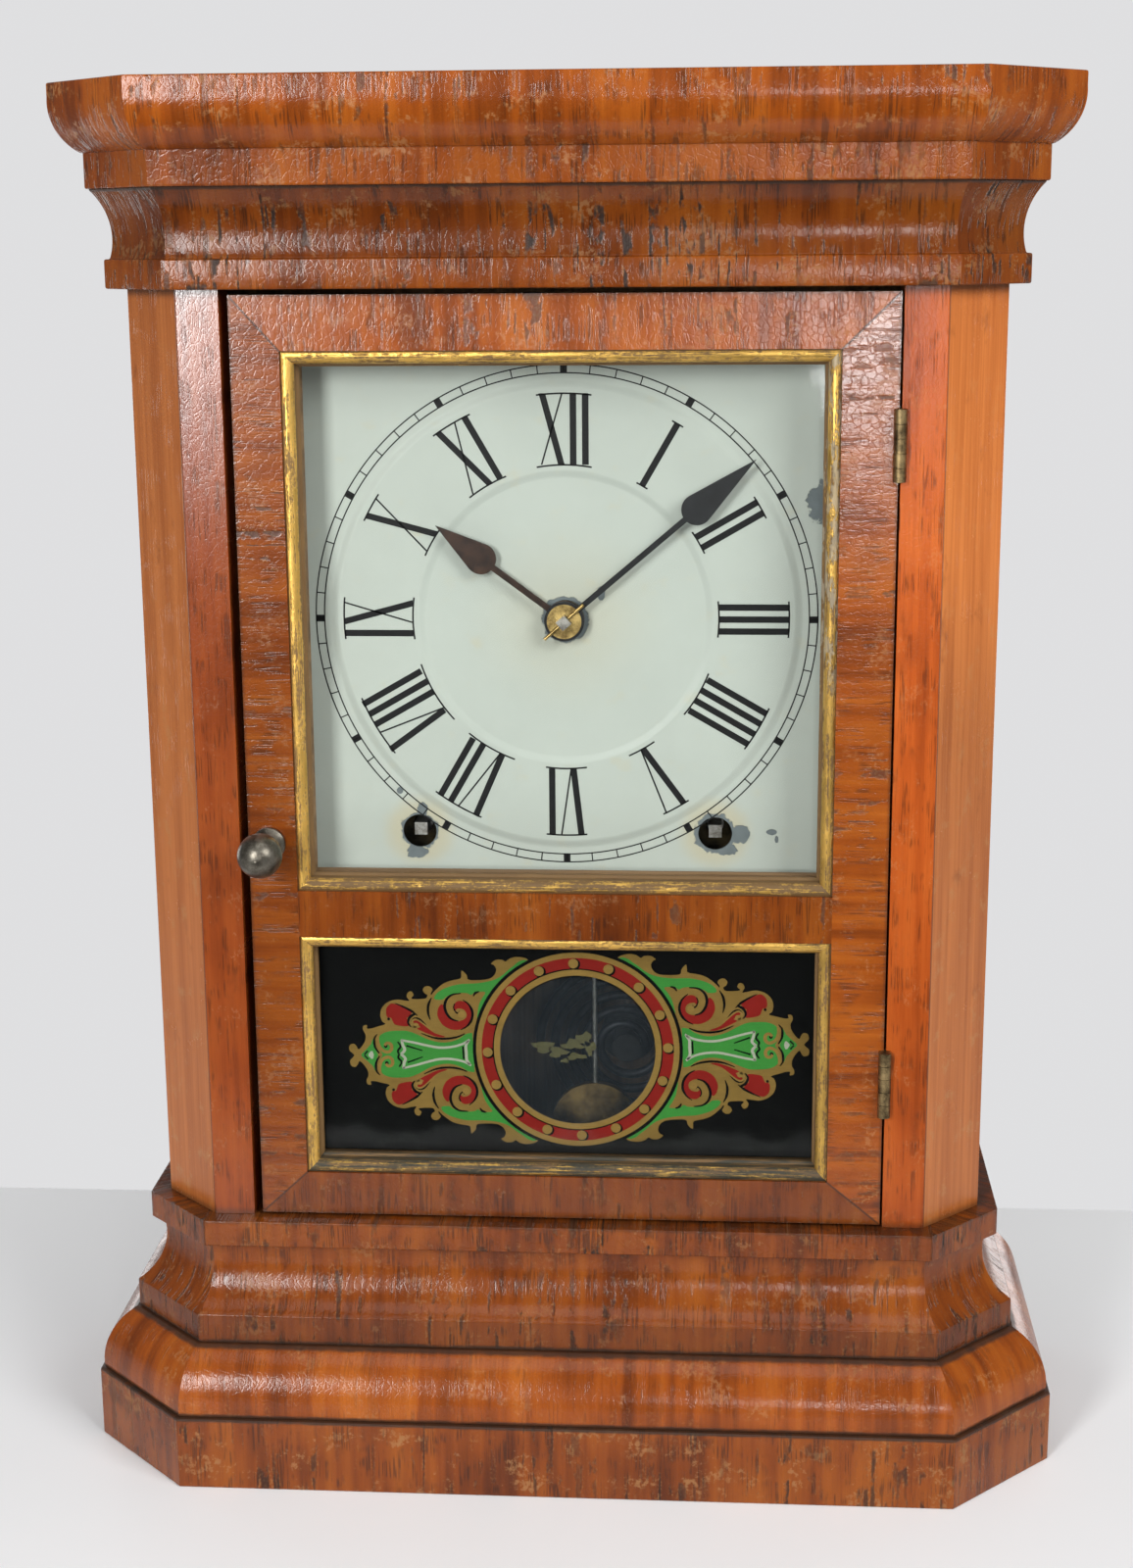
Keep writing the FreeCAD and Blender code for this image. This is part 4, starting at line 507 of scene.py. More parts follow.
class CLOCK_OT_mouldings(bpy.types.Operator):
    """Sweep the mouldings of base and cornice round the canted case"""

    bl_idname = "clock.mouldings"
    bl_label = "Mouldings"

    def execute(self, context):
        c = context.scene.clock_case
        strips = case_strips()
        plinth, ovolo, cove, cornice, crown = (span(node) for node in (
            "plinth_moulding", "base_ovolo_moulding", "base_cove_moulding", "cornice_cove_moulding",
            "crown_ovolo_moulding"))
        fillet, fascia, band = cove[0] + FILLET_HIGH, cornice[0] + FASCIA_HIGH, crown[0] + BAND_HIGH
        lip = crown[1] - CROWN_LIP_HIGH
        # Each moulding: node, span, profile, seed, brightness (level, factor below it, factor above it) and
        # finish amounts; the brightness factors are partly the veneer's own tone, partly painted shade and light:
        # the plinth, fillet and cornice hollow darker, the crown lighter.
        mouldings = (
            ("plinth_moulding", plinth, [(PLINTH_OUT, plinth[0]), (PLINTH_OUT, plinth[1])],
             1.0, (0.0, 0.69, 0.69), {"head": plinth[1] / MM, "cracks": 0.9, "wear": 1.3}),
            ("base_ovolo_moulding", ovolo, arc((OVOLO_FOOT_OUT, ovolo[0]), (
                OVOLO_BELLY_OUT, ovolo[0] + OVOLO_BELLY_UP), (OVOLO_HEAD_OUT, ovolo[1])),
             41.0, (0.0, 0.93, 0.93),
             {"foot": ovolo[0] / MM, "head": ovolo[1] / MM, "cracks": 0.25, "wear": 0.5}),
            ("base_cove_moulding", cove, [(FILLET_OUT, cove[0])] + arc((FILLET_OUT, fillet), (
                COVE_HOLLOW_OUT, fillet + COVE_HOLLOW_UP), (COVE_HEAD_OUT, cove[1])),
             83.0, (fillet / MM, 0.50, 0.70),
             {"foot": cove[0] / MM, "head": cove[1] / MM, "cracks": 0.8, "wear": 0.6}),
            ("cornice_cove_moulding", cornice, [(FASCIA_OUT, cornice[0]), (FASCIA_OUT, fascia)] + arc((
                CORNICE_FOOT_OUT, fascia), (CORNICE_HOLLOW_OUT, fascia + CORNICE_HOLLOW_UP), (
                CORNICE_HEAD_OUT, cornice[1])),
             127.0, (fascia / MM, 0.72, 0.54), {"head": cornice[1] / MM, "wear": 1.1}),
            ("crown_ovolo_moulding", crown, [(BAND_OUT, crown[0]), (BAND_OUT, band)] + arc((
                CROWN_FOOT_OUT, band), (CROWN_BELLY_OUT, band + CROWN_BELLY_SHARE * (lip - band)), (
                CROWN_LIP_OUT, lip)) + [(CROWN_LIP_OUT, crown[1])],
             171.0, (band / MM, 0.88, 1.06), {"cracks": 0.8, "wear": 1.0}),
        )
        for node, (low, high), points, seed, depth, amounts in mouldings:
            worn = eased([(0, low), *points, (0, high)], c.arris, lambda point: point[0] == 0)
            finish = wood_finish(node + "_veneer", seed, depth, **amounts)
            piece = sweep_strips(node + "_dressed", strips, worn, finish, "case")
            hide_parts(node)
        return {"FINISHED"}


def dress(node, finish, arris=0.0):
    """Give a solid its finish, and a worn arris where asked."""
    piece = NODES[node]
    piece.data.materials.clear()
    piece.data.materials.append(finish)
    for face in piece.data.polygons:
        face.material_index = 0
    if arris:
        piece.modifiers.new("weld", "WELD").merge_threshold = 1e-6
        bevel = piece.modifiers.new("arris", "BEVEL")
        bevel.width = arris
        bevel.segments = 2
        bevel.limit_method = "ANGLE"
        bevel.angle_limit = math.radians(40)
        bevel.harden_normals = True


def shelf_finish():
    """Crossbanded edge of the base shelf."""
    f = Finish("shelf_veneer")
    c = bpy.context.scene.clock_case
    x, y, z = f.place()
    depth = y - FRONT_Y / MM
    side = (abs(x) - c.front_half / MM - 2.0).ramp(0.0, 0.5)
    across = x + side * (depth * 1.3 + abs(x) + 300.0 - x)
    tone, rough, height = veneer(f, across, z, 211.0, 1.0, 0.7)
    tone = f.shade(tone, 0.66)
    top = (z - span("base_shelf")[1] / MM + 1.2).ramp(0.0, 1.1)
    tone = f.blend(0.55 * top * f.noise(x / 6.0, y / 6.0, 3.0, 3.0).ramp(0.3, 0.6), tone,
                   bpy.context.scene.clock_wood.grime_and_shade)
    return f.surface(height, 0.0002, Base_Color=tone, Roughness=rough, Specular_IOR_Level=0.34)


def post_finish():
    """Corner posts: red-brown front strips and paler canted strips, grain upright."""
    f = Finish("post_veneer")
    c, w = bpy.context.scene.clock_case, bpy.context.scene.clock_wood
    x, _, z = f.place()
    past_edge = abs(x) - c.front_half / MM
    canted = past_edge.ramp(0.1, 0.35)
    side = x.above(0.0)
    across = x * 1.35
    seed = 251.0 + 13.0 * canted + 29.0 * side
    red, rough, height = veneer(f, across, z, seed, 0.12, 0.3, (w.post_dark, w.post_mid, w.post_light), 0.8)
    wave = f.noise(across / 4.5 + 0.9 * f.noise(across / 9.0, z / 45.0, seed), z / 130.0, seed + 2.0)
    line = f.noise(across / 0.8, z / 60.0, seed + 4.0)
    pale = f.tint((0.6 * wave + 0.4 * line).ramp(0.30, 0.68), [(0.0, w.cant_dark), (1.0, w.cant_light)])
    low = 1.0 - (z - 150.0).ramp(0.0, 120.0)
    patch = f.noise(across / 5.0, z / 9.0, seed + 6.0, 5.0, 0.7).ramp(0.54, 0.66) * (0.25 + 0.75 * low)
    pale = f.blend(0.5 * patch, pale, w.tan)
    # Painted light: the right post's front strip is lighter than the left and grows lighter towards the top, and
    # the right canted strip is lighter at the top; partly the boards' own tone.
    red = f.shade(red, 0.64 + side * (0.22 + 0.36 * z.ramp(60.0, 260.0)))
    pale = f.shade(pale, 0.95 + 0.48 * side * z.ramp(200.0, 260.0))
    tone = f.blend(canted, red, pale)
    soot = f.noise(across / 7.0, z / 16.0, seed + 8.0, 4.0, 0.6).ramp(0.60, 0.78)
    tone = f.blend(0.5 * soot, tone, w.dark)
    # Darker just above the posts' foot and just below the cornice, where parts meet: soiling and painted shade.
    foot, head = span("corner_posts")[0] / MM, span("cornice_cove_moulding")[0] / MM
    dirt_and_shade = (1.0 - (z - foot).ramp(0.0, 2.5)).most(1.0 - (head - z).ramp(0.0, 3.0))
    tone = f.blend(0.6 * dirt_and_shade, tone, w.grime_and_shade)
    joint = 1.0 - abs(past_edge - 0.25).ramp(0.05, 0.25)
    tone = f.blend(0.55 * joint, tone, w.grime_and_shade)
    dull, plain, glossy = 0.22, 0.42, 0.97
    sheen = (glossy - plain) * (1.0 - side) * z.ramp(240.0, 285.0) - (plain - dull) * side
    share = (plain - dull + (1.0 - canted) * sheen) / (glossy - dull)
    return f.surface(height, 0.00006, (share, glossy), Base_Color=tone, Roughness=rough + 0.03,
                     Specular_IOR_Level=dull)


def door_finish():
    """Door veneer: grain across the stiles and upright on the rails, mitred at the corners."""
    f = Finish("door_veneer")
    x, _, z = f.place()
    (x0, _, z0), (x1, _, z1) = (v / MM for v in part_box("door_stiles"))
    (light_x0, _, _), (light_x1, _, _) = (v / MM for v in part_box("door_rails"))
    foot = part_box("lower_tablet")[0].z / MM - LIGHT_LAP / MM - z0
    head = z1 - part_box("upper_glass")[1].z / MM - LIGHT_LAP / MM
    inward = ((x - x0) / (light_x0 - x0)).least((x1 - x) / (x1 - light_x1))
    upward = ((z - z0) / foot).least((z1 - z) / head)
    stile = (upward - inward).above(0.0) * (1.0 - inward.above(1.0))
    rail = 1.0 - stile
    right_stile = stile * x.above(0.0)
    over_tablet = z.above(110.0)
    seed = 311.0 + 17.0 * stile + 23.0 * right_stile + 31.0 * rail * over_tablet
    tone, rough, height = veneer(f, x + stile * (z - x), z + stile * (x - z), seed, 0.7, 0.5)
    sheen = right_stile * z.ramp(235.0, 290.0)
    # Painted light and shade: the stiles grow lighter upwards, the top rail is lighter, the right stile lighter
    # still but darker where its gloss is raised, and the bottom rail darker; partly the veneer's own tone.
    tone = f.shade(tone, 0.66 + 0.16 * stile * z.ramp(120.0, 310.0) + 0.42 * rail * z.ramp(200.0, 300.0)
                   + 0.28 * right_stile - 0.25 * sheen - 0.12 * rail * (1.0 - over_tablet))
    joint = (1.0 - abs(upward - inward).ramp(0.012, 0.045)) * (1.0 - inward.above(1.03))
    # Painted shade: the door darkens within a millimetre of its outer edges; the mitre joints are real dark
    # joints.
    edge = 1.0 - (x - x0).least(x1 - x).least((z - z0).least(z1 - z)).ramp(0.0, 1.0)
    tone = f.blend((0.75 * joint).most(0.5 * edge), tone, bpy.context.scene.clock_wood.grime_and_shade)
    plain, glossy = 0.42, 0.92
    return f.surface(height, 0.00009, (sheen, glossy), Base_Color=tone, Roughness=rough, Specular_IOR_Level=plain)


def plain_wood(name, seed, along, dark, light, gloss):
    """Straight-grained board with its grain along one of the three ways."""
    f = Finish(name)
    place = f.place()
    way = place.pop(along)
    a, b = place
    ring = f.noise(a / 5.0, b / 5.0 + seed, way / 160.0, 3.0)
    line = f.noise(a / 0.9, b / 0.9 + seed, way / 45.0, 2.0)
    tone = f.tint((0.6 * ring + 0.4 * line).ramp(0.32, 0.68), [(0.0, dark), (1.0, light)])
    soil = f.noise(a / 30.0, b / 30.0 + seed, way / 40.0, 4.0).ramp(0.55, 0.75)
    tone = f.blend(0.45 * soil, tone, bpy.context.scene.clock_wood.pore)
    return f.surface(0.6 * line + 0.4 * ring, 0.00015, Base_Color=tone, Roughness=gloss + 0.2 * line)


class CLOCK_OT_case_wood(bpy.types.Operator):
    """Finish the posts, boards and shelf of the case"""

    bl_idname = "clock.case_wood"
    bl_label = "Case wood"

    def execute(self, context):
        c, w = context.scene.clock_case, context.scene.clock_wood
        dress("corner_posts", post_finish(), c.wood_arris)
        dress("base_shelf", shelf_finish(), c.wood_arris)
        dark_pine = tuple(0.45 * v for v in w.pine)
        for name, seed, along, dark, light, gloss, nodes in (
                ("stained_board", 7.0, 2, w.dark, w.mid, 0.38, ("side_boards",)),
                ("top_stain", 19.0, 0, w.dark, w.mid, 0.45, ("top_board",)),
                ("bare_pine", 31.0, 2, dark_pine, w.pine, 0.62,
                 ("back_board", "movement_blocks", "dial_battens")),
                ("bare_pine_rails", 43.0, 0, dark_pine, w.pine, 0.62,
                 ("base_frame", "header_rail", "glass_slips"))):
            finish = plain_wood(name, seed, along, dark, light, gloss)
            for node in nodes:
                dress(node, finish)
        return {"FINISHED"}


# How far the gilt mouldings lap over the glasses, and where the maps of their four runs start, in metres
LIGHT_LAP = 0.0004
TOP_RUN, LEFT_RUN, RIGHT_RUN = 0.5, 1.0, 1.7


def gilt_finish():
    """Gold leaf, rubbed to its dark ground in streaks and blackened along the foot of the door."""
    f = Finish("gold_leaf")
    g = bpy.context.scene.clock_gilt
    run, over = f.run()
    z = f.place()[2]

    def leaf(long, wide, *more):
        """Noise of so many millimetres along and over the moulding."""
        return f.noise(run / long, over / wide, *more)

    patch = leaf(8.0, 2.2, 5.0, 6.0, 0.70)
    fine = leaf(1.2, 0.9, 13.0, 3.0, 0.6)
    foot = 1.0 - run.above(0.5 * TOP_RUN / MM)
    left = run.above(LEFT_RUN / MM) * (1.0 - run.above(RIGHT_RUN / MM))
    edge = (1.0 - over.ramp(5.0, 5.7)).most(over.ramp(8.9, 9.5))
    rubbed = 0.45 * patch + 0.35 * leaf(30.0, 0.55, 9.0, 3.0, 0.6) + 0.20 * fine + 0.05 * foot + 0.13 * edge
    rubbed = rubbed.ramp(0.68 - 0.40 * g.wear, 0.76 - 0.40 * g.wear)
    sound = f.tint(leaf(12.0, 4.0, 17.0, 4.0), [(0.30, tuple(0.55 * v for v in g.leaf)), (0.70, g.leaf)])
    # The left run is made lighter as painted light, standing for reflection; the foot runs are darker.
    tone = f.shade(f.blend(0.88 * rubbed, sound, g.ground), 1.0 - 0.12 * foot + 0.25 * left)
    soot = foot * (1.0 - z.above(110.0)) * leaf(16.0, 1.1, 27.0, 5.0, 0.7).ramp(0.40, 0.56)
    tone = f.blend(0.9 * soot, tone, g.soot)
    gesso = run.above(1860.0) * z.ramp(205.0, 230.0) * leaf(7.0, 2.5, 21.0, 4.0, 0.7).ramp(0.50, 0.54)
    tone = f.blend(0.8 * gesso, tone, g.gesso)
    height = 0.5 * fine + 0.7 * (1.0 - rubbed) + 0.5 * patch - 0.8 * gesso
    return f.surface(height, 0.00016, Base_Color=tone, Roughness=0.30 + 0.30 * rubbed + 0.15 * fine,
                     Metallic=0.9 * (1.0 - rubbed.most(gesso.most(soot))))


def glass_finish(name, clarity, film=0.0):
    """Old clear glass, a little wavy, with a film of dust in the tablet's window where one is given."""
    f = Finish(name)
    x, _, z = f.place()
    clear = f.node("ShaderNodeBsdfTransparent", None, {0: clarity})
    if film:
        t = bpy.context.scene.clock_tablet
        across, up = x - t.ring_x / MM, z - t.ring_z / MM
        inside = 1.0 - (across * across + up * up).root().above(t.window / MM)
        cloud = f.noise(x / 9.0, z / 9.0, 17.0, 4.0, 0.6)
        dust = f.node("ShaderNodeBsdfDiffuse", None, {"Color": t.dust})
        clear = f.node("ShaderNodeMixShader", None, {0: film * inside * (0.5 + cloud), 1: clear, 2: dust})
    gloss = f.node("ShaderNodeBsdfPrincipled", None, {
        "Base Color": (0.90, 0.92, 0.91), "Roughness": 0.05, "Metallic": 1.0,
        "Normal": f.bump(f.noise(x / 30.0, z / 40.0, 11.0), 0.0004)})
    facing = f.node("ShaderNodeLayerWeight", None, {"Blend": 0.5}, out="Facing")
    return f.close(f.node("ShaderNodeMixShader", None, {0: 0.012 + 0.45 * facing ** 5.0, 1: clear, 2: gloss}))


def light_strips(x0, x1, z0, z1):
    """The four runs round a rectangular light as functions of inward step and depth."""

    def strip(start, end, along, shift):
        """Run between two corners, given as shares of width and height, measured along x or z."""
        def ends(q, d):
            pair = [(x1 - q if right else x0 + q, FRONT_Y + d, z1 - q if top else z0 + q)
                    for right, top in (start, end)]
            return (*map(Vector, pair), *(shift + place[along] for place in pair))
        return ends

    return [strip((0, 0), (1, 0), 0, 0.0), strip((0, 1), (1, 1), 0, TOP_RUN),
            strip((0, 0), (0, 1), 2, LEFT_RUN), strip((1, 0), (1, 1), 2, RIGHT_RUN)]


class CLOCK_OT_door(bpy.types.Operator):
    """Veneer the door, gild its mouldings and glaze it"""

    bl_idname = "clock.door"
    bl_label = "Door"

    def execute(self, context):
        g = context.scene.clock_gilt
        finish = door_finish()
        for node in ("door_stiles", "door_rails"):
            dress(node, finish)
        wide, deep, edge = g.width, 0.0060, 0.0009
        bead = [(0.0, deep)] + arc((0.0, edge), (0.35 * wide, 0.0006), (0.80 * wide, 0.0034), 12)
        bead += [(0.82 * wide, 0.0043), (wide, 0.0047), (wide, deep)]
        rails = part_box("door_rails")
        strips = []
        for node in ("upper_glass", "lower_tablet"):
            low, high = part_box(node)
            strips += light_strips(rails[0].x, rails[1].x, low.z - LIGHT_LAP, high.z + LIGHT_LAP)
        worn = eased(bead, 0.0003, lambda point: point[0] == 0.0 or point[1] == deep)
        piece = sweep_strips("gilt_beads", strips, worn, gilt_finish(), "door")
        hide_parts("gilt_mouldings")
        dress("upper_glass", glass_finish("door_glass", (0.97, 0.98, 0.97)))
        return {"FINISHED"}


def spline(points, closed=True, steps=6):
    """Smooth points through the given ones."""
    count = len(points)
    spans = count if closed else count - 1
    out = []
    for i in range(spans):
        def pick(k):
            return Vector(points[k % count] if closed else points[max(0, min(count - 1, k))])
        a, b, c, d = pick(i - 1), pick(i), pick(i + 1), pick(i + 2)
        for k in range(steps):
            t = k / steps
            out.append(0.5 * (2 * b + (c - a) * t + (2 * a - 5 * b + 4 * c - d) * t * t
                              + (3 * b - a - 3 * c + d) * t ** 3))
    if not closed:
        out.append(Vector(points[-1]))
    return out


def ribbon(points, widths):
    """Outline of a stroke along smooth points, with widths spread evenly along it."""
    left, right = [], []
    for i, at in enumerate(points):
        way = (points[min(i + 1, len(points) - 1)] - points[max(i - 1, 0)]).normalized()
        side = Vector((-way.y, way.x))
        place = i / (len(points) - 1) * (len(widths) - 1)
        low = min(int(place), len(widths) - 2)
        half = 0.5 * (widths[low] + (widths[low + 1] - widths[low]) * (place - low))
        left.append(at + side * half)
        right.append(at - side * half)
    return left + right[::-1]


def disc(centre, radius, steps=24):
    """Round outline."""
    turns = [TURN * i / steps for i in range(steps)]
    return [Vector((centre[0] + radius * math.cos(t), centre[1] + radius * math.sin(t))) for t in turns]


class Painted:
    """Flat paint on one plane, gathered from outlines in millimetres."""

    def __init__(self, place):
        self.bm = bmesh.new()
        self.place = place

    def fill(self, outline):
        flat = [Vector((point[0], point[1])) for point in outline]
        points, _, triangles, *_ = delaunay_2d_cdt(flat, [], [list(range(len(flat)))], 1, 1e-5)
        verts = [self.bm.verts.new(self.place(point.x, point.y)) for point in points]
        for triangle in triangles:
            self.bm.faces.new([verts[k] for k in triangle])

    def ring(self, centre, inner, outer, steps=128):
        rows = [[self.bm.verts.new(self.place(p.x, p.y)) for p in disc(centre, radius, steps)]
                for radius in (inner, outer)]
        for i in range(steps):
            j = (i + 1) % steps
            self.bm.faces.new((rows[0][i], rows[0][j], rows[1][j], rows[1][i]))

    def finish(self, name, material, body, slot):
        face_front(self.bm)
        return add_piece(name, self.bm, material, body)


def paint_finish(name, tint, vary=0.25, rough=0.45, metal=0.0):
    """Hand-laid paint with brush streaks and small losses of tone."""
    f = Finish(name)
    x, y, z = f.place()
    streak = f.noise(x / 3.0, z / 0.35, y, 3.0, 0.6)
    cloud = f.noise(x / 6.0, z / 6.0, 5.0, 4.0, 0.6)
    tone = f.shade(tint, 1.0 - vary + 2.0 * vary * (0.5 * streak + 0.5 * cloud))
    return f.surface(streak, 0.00002, Base_Color=tone, Roughness=rough + 0.15 * cloud, Metallic=metal,
                     Specular_IOR_Level=0.15)


def ornament_parts():
    """Scrolled ornament of one quarter in millimetres: outward from the ring, and up from its middle line."""

    def brush(strokes):
        return [ribbon(spline(points, False), widths) for points, widths in strokes]

    ring_edge = [(28.1 * math.cos(t), 28.1 * math.sin(t)) for t in (0.0, 0.2, 0.4, 0.6, 0.8, 1.0)]
    gold = [spline([
        (11.4, 25.2), (12.8, 26.2), (15.1, 26.6), (16.9, 26.2), (18.1, 25.4), (19.0, 25.9), (20.7, 25.9),
        (22.0, 24.9), (21.3, 24.5), (20.7, 23.3), (21.3, 21.7), (22.8, 20.7), (25.6, 20.4), (28.3, 20.6),
        (28.8, 22.0), (30.0, 23.2), (30.2, 22.2), (30.5, 21.0), (32.8, 20.5), (35.1, 19.7), (37.4, 17.9),
        (38.6, 16.6), (38.7, 17.1), (38.2, 18.1), (39.0, 19.0), (40.1, 19.0), (40.8, 18.1), (40.4, 17.1),
        (39.7, 16.6), (40.1, 15.7), (41.9, 15.5), (43.8, 15.6), (44.0, 16.0), (43.4, 16.7), (44.0, 17.7),
        (44.9, 17.4), (45.3, 16.3), (44.7, 15.1), (46.0, 15.2), (48.3, 15.5), (50.6, 14.8), (52.2, 13.3),
        (52.8, 11.3), (52.4, 9.5), (51.6, 8.7), (53.8, 8.0), (55.7, 7.5), (56.7, 7.6), (56.6, 8.5),
        (57.6, 8.3), (57.8, 7.2), (57.2, 5.8), (57.4, 4.2), (58.5, 2.4), (59.4, 1.7), (59.9, 2.6),
        (60.6, 3.3), (61.7, 2.9), (61.9, 1.5), (61.0, 0.5), (60.6, 0.0)], False) + ring_edge]
    green = [
        spline([
            (11.6, 25.2), (13.1, 25.7), (14.7, 25.2), (15.9, 24.2), (17.4, 23.1), (19.0, 21.7),
            (20.9, 20.6), (23.4, 19.9), (26.5, 19.5), (30.6, 19.4), (33.1, 18.9), (35.4, 18.1),
            (37.1, 17.0), (37.9, 15.8), (37.4, 15.2), (35.6, 15.2), (34.7, 15.9), (33.1, 16.6),
            (31.1, 16.9), (29.0, 16.8), (27.9, 16.3), (27.1, 16.8), (25.6, 17.1), (24.0, 16.9),
            (24.9, 15.4), (25.9, 13.5), (26.4, 11.3), (26.7, 9.6)], False)
        + ring_edge[2:],
        spline([
            (28.2, 5.6), (29.9, 5.3), (31.9, 4.0), (34.7, 3.1), (37.4, 3.2), (40.2, 4.0), (42.9, 5.4),
            (45.6, 6.5), (47.9, 6.7), (50.6, 6.6), (52.5, 6.0), (53.6, 5.0), (53.9, 3.6), (53.6, 1.6),
            (52.9, 0.0)], False)
        + ring_edge[:1],
        [(55.2, 4.7), (55.9, 3.1), (57.2, 1.7), (58.6, 0.4), (58.8, 0.0), (54.1, 0.0), (54.9, 1.8)]]
    red = [spline(points) for points in (
        [(35.9, 13.9), (36.8, 13.1), (37.3, 11.3), (37.0, 9.7), (35.9, 7.9), (33.8, 6.7), (31.5, 6.6),
         (29.5, 7.6), (28.2, 9.5), (27.8, 11.5), (28.4, 13.3), (29.7, 14.4), (31.3, 14.7), (32.4, 14.0),
         (32.7, 12.9), (32.4, 12.0), (31.9, 12.5), (30.9, 12.5), (29.9, 12.0), (29.4, 11.0), (29.6, 10.0),
         (30.5, 9.3), (32.0, 9.0), (33.4, 9.4), (34.6, 10.3), (35.3, 11.7), (35.4, 13.0)],
        [(44.3, 12.0), (46.5, 13.3), (48.4, 14.2), (49.7, 14.4), (50.9, 13.3), (51.2, 11.7), (50.9, 10.6),
         (50.0, 10.4), (49.6, 9.6), (49.0, 8.5), (47.0, 8.0), (45.4, 8.0), (45.4, 9.2), (45.6, 10.2),
         (44.8, 10.9)],
        [(35.6, 4.7), (38.4, 5.8), (40.6, 7.6), (42.4, 9.2), (43.6, 9.5), (44.0, 9.0), (42.9, 8.3),
         (42.2, 7.6), (43.1, 7.2), (42.0, 6.5), (39.7, 5.4), (37.4, 4.6)])]
    strokes = [
        ([(30.2, 15.0), (28.6, 13.5), (27.8, 11.4), (28.2, 9.2), (29.5, 7.5), (31.3, 6.5)],
          [0.2, 0.7, 0.7, 0.2]),
        ([(30.6, 16.8), (32.9, 16.5), (34.5, 15.3), (35.2, 13.3), (34.8, 11.3), (33.6, 9.7), (31.8, 9.0)],
         [0.3, 0.6, 0.8, 0.7, 0.3]),
        ([(32.4, 14.0), (32.8, 12.9), (32.3, 11.6), (31.5, 11.2), (31.2, 11.8)], [0.3, 0.4, 0.6]),
        ([(38.6, 15.8), (39.5, 14.0), (39.8, 11.7), (39.3, 9.5)], [0.2, 0.7, 0.7, 0.2]),
        ([(42.7, 10.8), (44.3, 12.2), (46.5, 13.5), (48.6, 14.5)], [0.2, 0.7, 0.5, 0.2]),
        ([(43.4, 11.3), (44.7, 10.6), (45.4, 9.0), (44.7, 7.7)], [0.6, 0.8, 0.6, 0.3]),
        ([(40.2, 7.6), (42.0, 9.7), (43.6, 10.1), (44.5, 9.0), (44.3, 7.6)], [0.2, 0.5, 0.4, 0.3]),
        ([(30.2, 5.4), (32.4, 4.5), (35.6, 4.1), (38.8, 4.5), (42.0, 5.8)], [0.3, 0.6, 0.6, 0.2]),
        ([(25.6, 17.2), (26.7, 16.8), (27.3, 15.9)], [0.3, 0.7, 0.3]),
        ([(30.9, 0.0), (30.9, 1.8)], [0.5, 0.5]), ([(42.0, 0.9), (46.3, 2.4)], [0.3, 0.5]),
        ([(48.6, 3.6), (47.9, 2.2), (48.7, 1.0), (48.4, 0.0)], [0.4, 0.6, 0.5]),
        ([(54.0, 5.8), (54.9, 4.5), (54.8, 2.2), (53.8, 0.4)], [0.3, 0.7, 0.4]),
        ([(56.9, 1.2), (57.9, 0.1)], [0.5, 0.4])]
    black = brush(strokes) + [disc((51.9, 2.4), 0.5), disc((50.6, 10.1), 0.4)]
    bars = [
        ([(30.1, 0.0), (30.1, 2.0), (29.3, 3.4)], [0.8, 0.7]),
        ([(29.0, 3.7), (31.0, 2.5), (34.0, 1.75), (37.4, 1.65), (41.0, 2.4), (44.0, 3.2), (47.6, 4.0)],
          [0.6, 0.7, 0.6]),
        ([(47.5, 4.1), (47.2, 2.5), (46.8, 1.2), (47.9, 0.0)], [0.7, 0.8, 0.7])]
    cream = brush(bars)
    cream.append([(55.3, 0.0), (55.6, 1.1), (56.1, 1.1), (56.8, 0.2), (56.8, 0.0)])
    curls = [
        ([(53.8, 5.6), (53.9, 3.5), (53.1, 1.5), (51.5, 0.7), (50.4, 1.5), (50.5, 2.9), (51.5, 3.3),
          (52.2, 2.6)],
         [0.6, 0.9, 0.9, 0.7]),
        ([(39.0, 6.6), (41.4, 8.6), (43.2, 9.8), (44.3, 9.2), (44.2, 7.9), (43.3, 7.6)],
          [0.3, 0.4, 0.6, 0.5])]
    lines = brush(curls) + [disc((43.3, 8.0), 0.8), disc((30.8, 10.9), 0.95)]
    return {"gold": gold, "black": black, "green": green, "red": red, "cream": cream, "lines": lines}


def repeated(name, tree, inputs, finish, matrix, body):
    """Evaluate a node tree once and keep its result as a plain piece."""
    holder = bpy.data.objects.new(name + "_maker", bpy.data.meshes.new(name + "_maker"))
    bpy.context.scene.collection.objects.link(holder)
    modifier = holder.modifiers.new("maker", "NODES")
    modifier.node_group = tree
    for item in tree.interface.items_tree:
        if item.in_out == "INPUT":
            modifier[item.identifier] = inputs[item.name]
    graph = bpy.context.evaluated_depsgraph_get()
    mesh = bpy.data.meshes.new_from_object(holder.evaluated_get(graph))
    bpy.data.objects.remove(holder)
    bm = bmesh.new()
    bm.from_mesh(mesh)
    bpy.data.meshes.remove(mesh)
    bm.transform(matrix)
    for face in bm.faces:
        face.material_index = 0
    face_front(bm)
    return add_piece(name, bm, finish, body)


